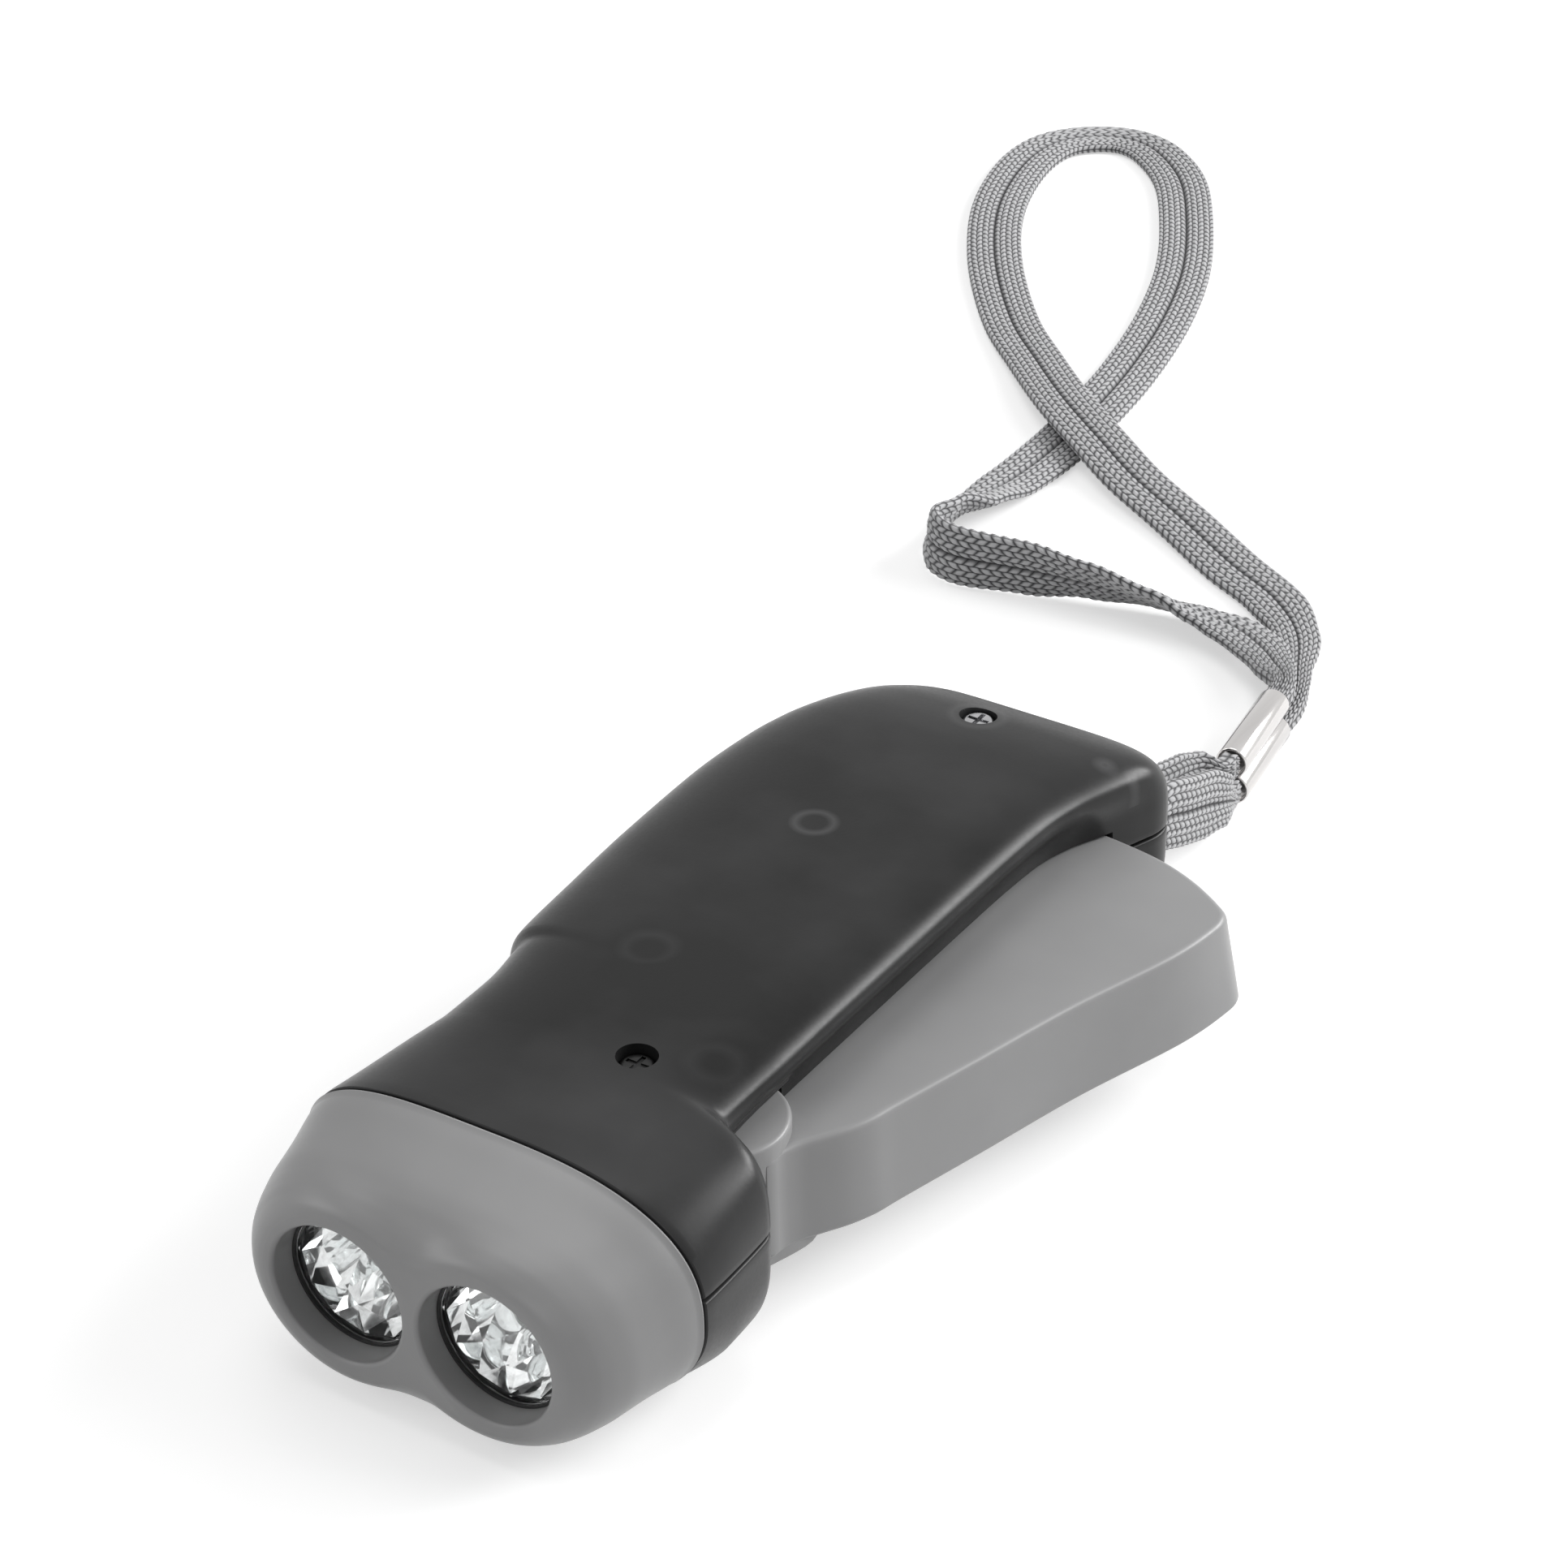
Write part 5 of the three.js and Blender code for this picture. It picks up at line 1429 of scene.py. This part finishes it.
def machine_screw(place):
    """A turned head and a shank with even ridges, a cross cut into the head."""
    head = [(0, 0.06), (0.9, 0.04), (1.25, 0), (1.45, 0.08), (1.62, 0.3)]
    profile = [(radius, -screw_head_high + down) for radius, down in head]
    profile += [
        (1.7, -screw_head_low - 0.12), (1.66, -screw_head_low), (screw_shank, -screw_head_low)
    ]
    depth = -screw_head_low
    while depth < -screw_end:
        profile += [(screw_shank, depth + 0.08), (screw_root, depth + 0.26)]
        profile += [(screw_root, depth + 0.34), (screw_shank, depth + 0.52)]
        depth += screw_pitch
    profile += [(0.45, -13.15), (0, -13.1)]
    screw = turned_form("screw", profile, 40)
    screw.rotation_euler = (-math.pi / 2, 0, 0)
    settle(screw)
    low, high = screw_head_high - cross_depth, screw_head_high + 1
    for x, y in ((cross_length, cross_width), (cross_width, cross_length)):
        combine(screw, slab((-x, -y, low), (x, y, high)), "DIFFERENCE")
    return moved(screw, (*place, 0))


bright_steel = metal_paint("bright screw steel", (0.5, 0.5, 0.51), 0.25, 1400)
near_black_steel = metal_paint("near black screw steel", (0.05, 0.05, 0.05), 0.4, 1400)
for name, place, paint in (
    ("front", screw_places[0], near_black_steel), ("rear", screw_places[1], bright_steel),
):
    screw = machine_screw(place)
    finish_piece(screw, "cross_screw_" + name, paint, "case", "steel", "shell_screw_" + name)

# Switch. A small satin gray slide in the left side: a ribbed knob outside, a neck through the
# window and a plate inside that carries it along the shell.
switch_y = -23.5
switch_skin = 18.722
switch_inner = 14.02
switch_low, switch_high = 10, 15
knob_half = 4.2
knob_groove_step = 1.05
knob_groove_half = 0.22
neck_half = 1.9
plate_half = 3


def slide_part(outer, half, edge):
    """A plate 1 mm thick that stands along the shell, with eased edges."""
    part = slab((outer, switch_y - half, switch_low), (outer + 1, switch_y + half, switch_high))
    bevel = part.modifiers.new("edges", "BEVEL")
    bevel.width = edge * MM
    bevel.segments = 3
    bpy.ops.object.modifier_apply(modifier="edges")
    return part


def slide_knob():
    outer = -switch_skin - 0.5
    knob = slide_part(outer - 1, knob_half, 0.3)
    for k in range(-3, 4):
        y = switch_y + k * knob_groove_step
        groove = slab(
            (outer - 2, y - knob_groove_half, switch_low - 0.2),
            (outer - 0.62, y + knob_groove_half, switch_high + 0.2),
        )
        combine(knob, groove, "DIFFERENCE")
    neck = slab(
        (outer - 0.2, switch_y - neck_half, switch_low + 0.9),
        (-switch_inner - 0.2, switch_y + neck_half, switch_high - 0.9),
    )
    combine(knob, neck, "UNION")
    combine(knob, slide_part(-switch_inner - 1, plate_half, 0.2), "UNION")
    return knob


satin_slide = satin_paint("satin gray slide", (0.27, 0.27, 0.275), 0.42)
finish_piece(slide_knob(), "slide_knob", satin_slide, "switch", "gray_plastic", "switch_slider")

# Inside works. Gears, pins, rotor, coil, cells and board keep the shapes the frame gives them, in
# nylon, turned steel, enamelled wire, laminations, ferrite, nickel plate and green laminate.


def worn(paint, dark, share):
    """Darkens an existing finish in patches, as handling and oil do."""
    tree = paint.node_tree
    shader = tree.nodes["Principled BSDF"]
    before = shader.inputs["Base Color"].links[0].from_socket
    patch = speckle(tree, 260, 5)
    level = tree.nodes.new("ShaderNodeValToRGB")
    level.color_ramp.elements[0].position = 0.5 - share / 2
    level.color_ramp.elements[1].position = 0.5 + share / 2
    tree.links.new(patch, level.inputs["Fac"])
    shade = tree.nodes.new("ShaderNodeMixRGB")
    shade.inputs["Color2"].default_value = (*dark, 1)
    tree.links.new(level.outputs["Color"], shade.inputs["Fac"])
    tree.links.new(before, shade.inputs["Color1"])
    tree.links.new(shade.outputs["Color"], shader.inputs["Base Color"])
    return paint


def striped_paint(name, low, high, axis, per_mm, metallic, roughness):
    """Even bands of two shades with a groove at each, for wound wire and stacked sheet."""
    paint, tree, shader = new_paint(name)
    shader.inputs["Metallic"].default_value = metallic
    reach = calc(tree, "MULTIPLY", own_place(tree)[axis], per_mm * 2 * math.pi / MM)
    bands = calc(tree, "POWER", calc(tree, "ABSOLUTE", calc(tree, "SINE", reach)), 0.6)
    coloured(tree, shader, bands, (0, low), (1, high))
    roughened(tree, shader, speckle(tree, 1500, 2), 0.15, roughness)
    raised(tree, shader, bands, 0.5, 0.05)
    return paint


def dress(paint, *names):
    """Puts the paint on the frame's own solids."""
    for name in names:
        node = nodes[name]
        node.data.materials.clear()
        node.data.materials.append(paint)


nylon = satin_paint("gear nylon", (0.66, 0.64, 0.57), 0.5)
turned_steel = metal_paint("turned steel", (0.6, 0.6, 0.62), 0.3, 1200, (1, 1, 6))
cell_nickel = metal_paint("cell nickel plate", (0.75, 0.74, 0.71), 0.24, 800)
contact_brass = metal_paint("plated contact", (0.7, 0.62, 0.4), 0.3, 900)
spring_steel = metal_paint("spring steel", (0.45, 0.45, 0.47), 0.32, 1600)
flywheel_zinc = metal_paint("cast flywheel", (0.4, 0.4, 0.41), 0.45, 700)
flywheel_zinc = worn(flywheel_zinc, (0.16, 0.15, 0.14), 0.4)
ferrite = worn(satin_paint("sintered magnet", (0.05, 0.05, 0.055), 0.6), (0.1, 0.1, 0.1), 0.3)
sheet_shades = ((0.06, 0.06, 0.06), (0.36, 0.35, 0.35))
wire_shades = ((0.2, 0.05, 0.02), (0.72, 0.3, 0.12))
laminations = striped_paint("stacked steel sheet", *sheet_shades, "Z", 1.0, 0.9, 0.35)
enamel_wire = striped_paint("enamelled wire", *wire_shades, "X", 2.5, 0.7, 0.2)
board_laminate = satin_paint("green laminate", (0.02, 0.1, 0.04), 0.35)
board_laminate = worn(board_laminate, (0.012, 0.06, 0.03), 0.15)
chip_epoxy = satin_paint("black epoxy", (0.02, 0.02, 0.021), 0.5)
dress(nylon, "sector_gear", "first_pinion", "first_gear", "idler_pinion", "idler_gear")
dress(nylon, "rotor_pinion")
dress(turned_steel, "lever_pin", "axle_first", "axle_idler", "axle_rotor", "lanyard_pin")
dress(cell_nickel, "button_cell_1", "button_cell_2", "button_cell_3")
dress(contact_brass, "cell_contact_lower", "cell_contact_upper")
for paint, name in (
    (spring_steel, "lever_spring"), (flywheel_zinc, "flywheel"), (ferrite, "rotor_magnet"),
    (laminations, "stator_core"), (enamel_wire, "stator_coil"), (board_laminate, "led_board"),
    (chip_epoxy, "rectifier"),
):
    dress(paint, name)
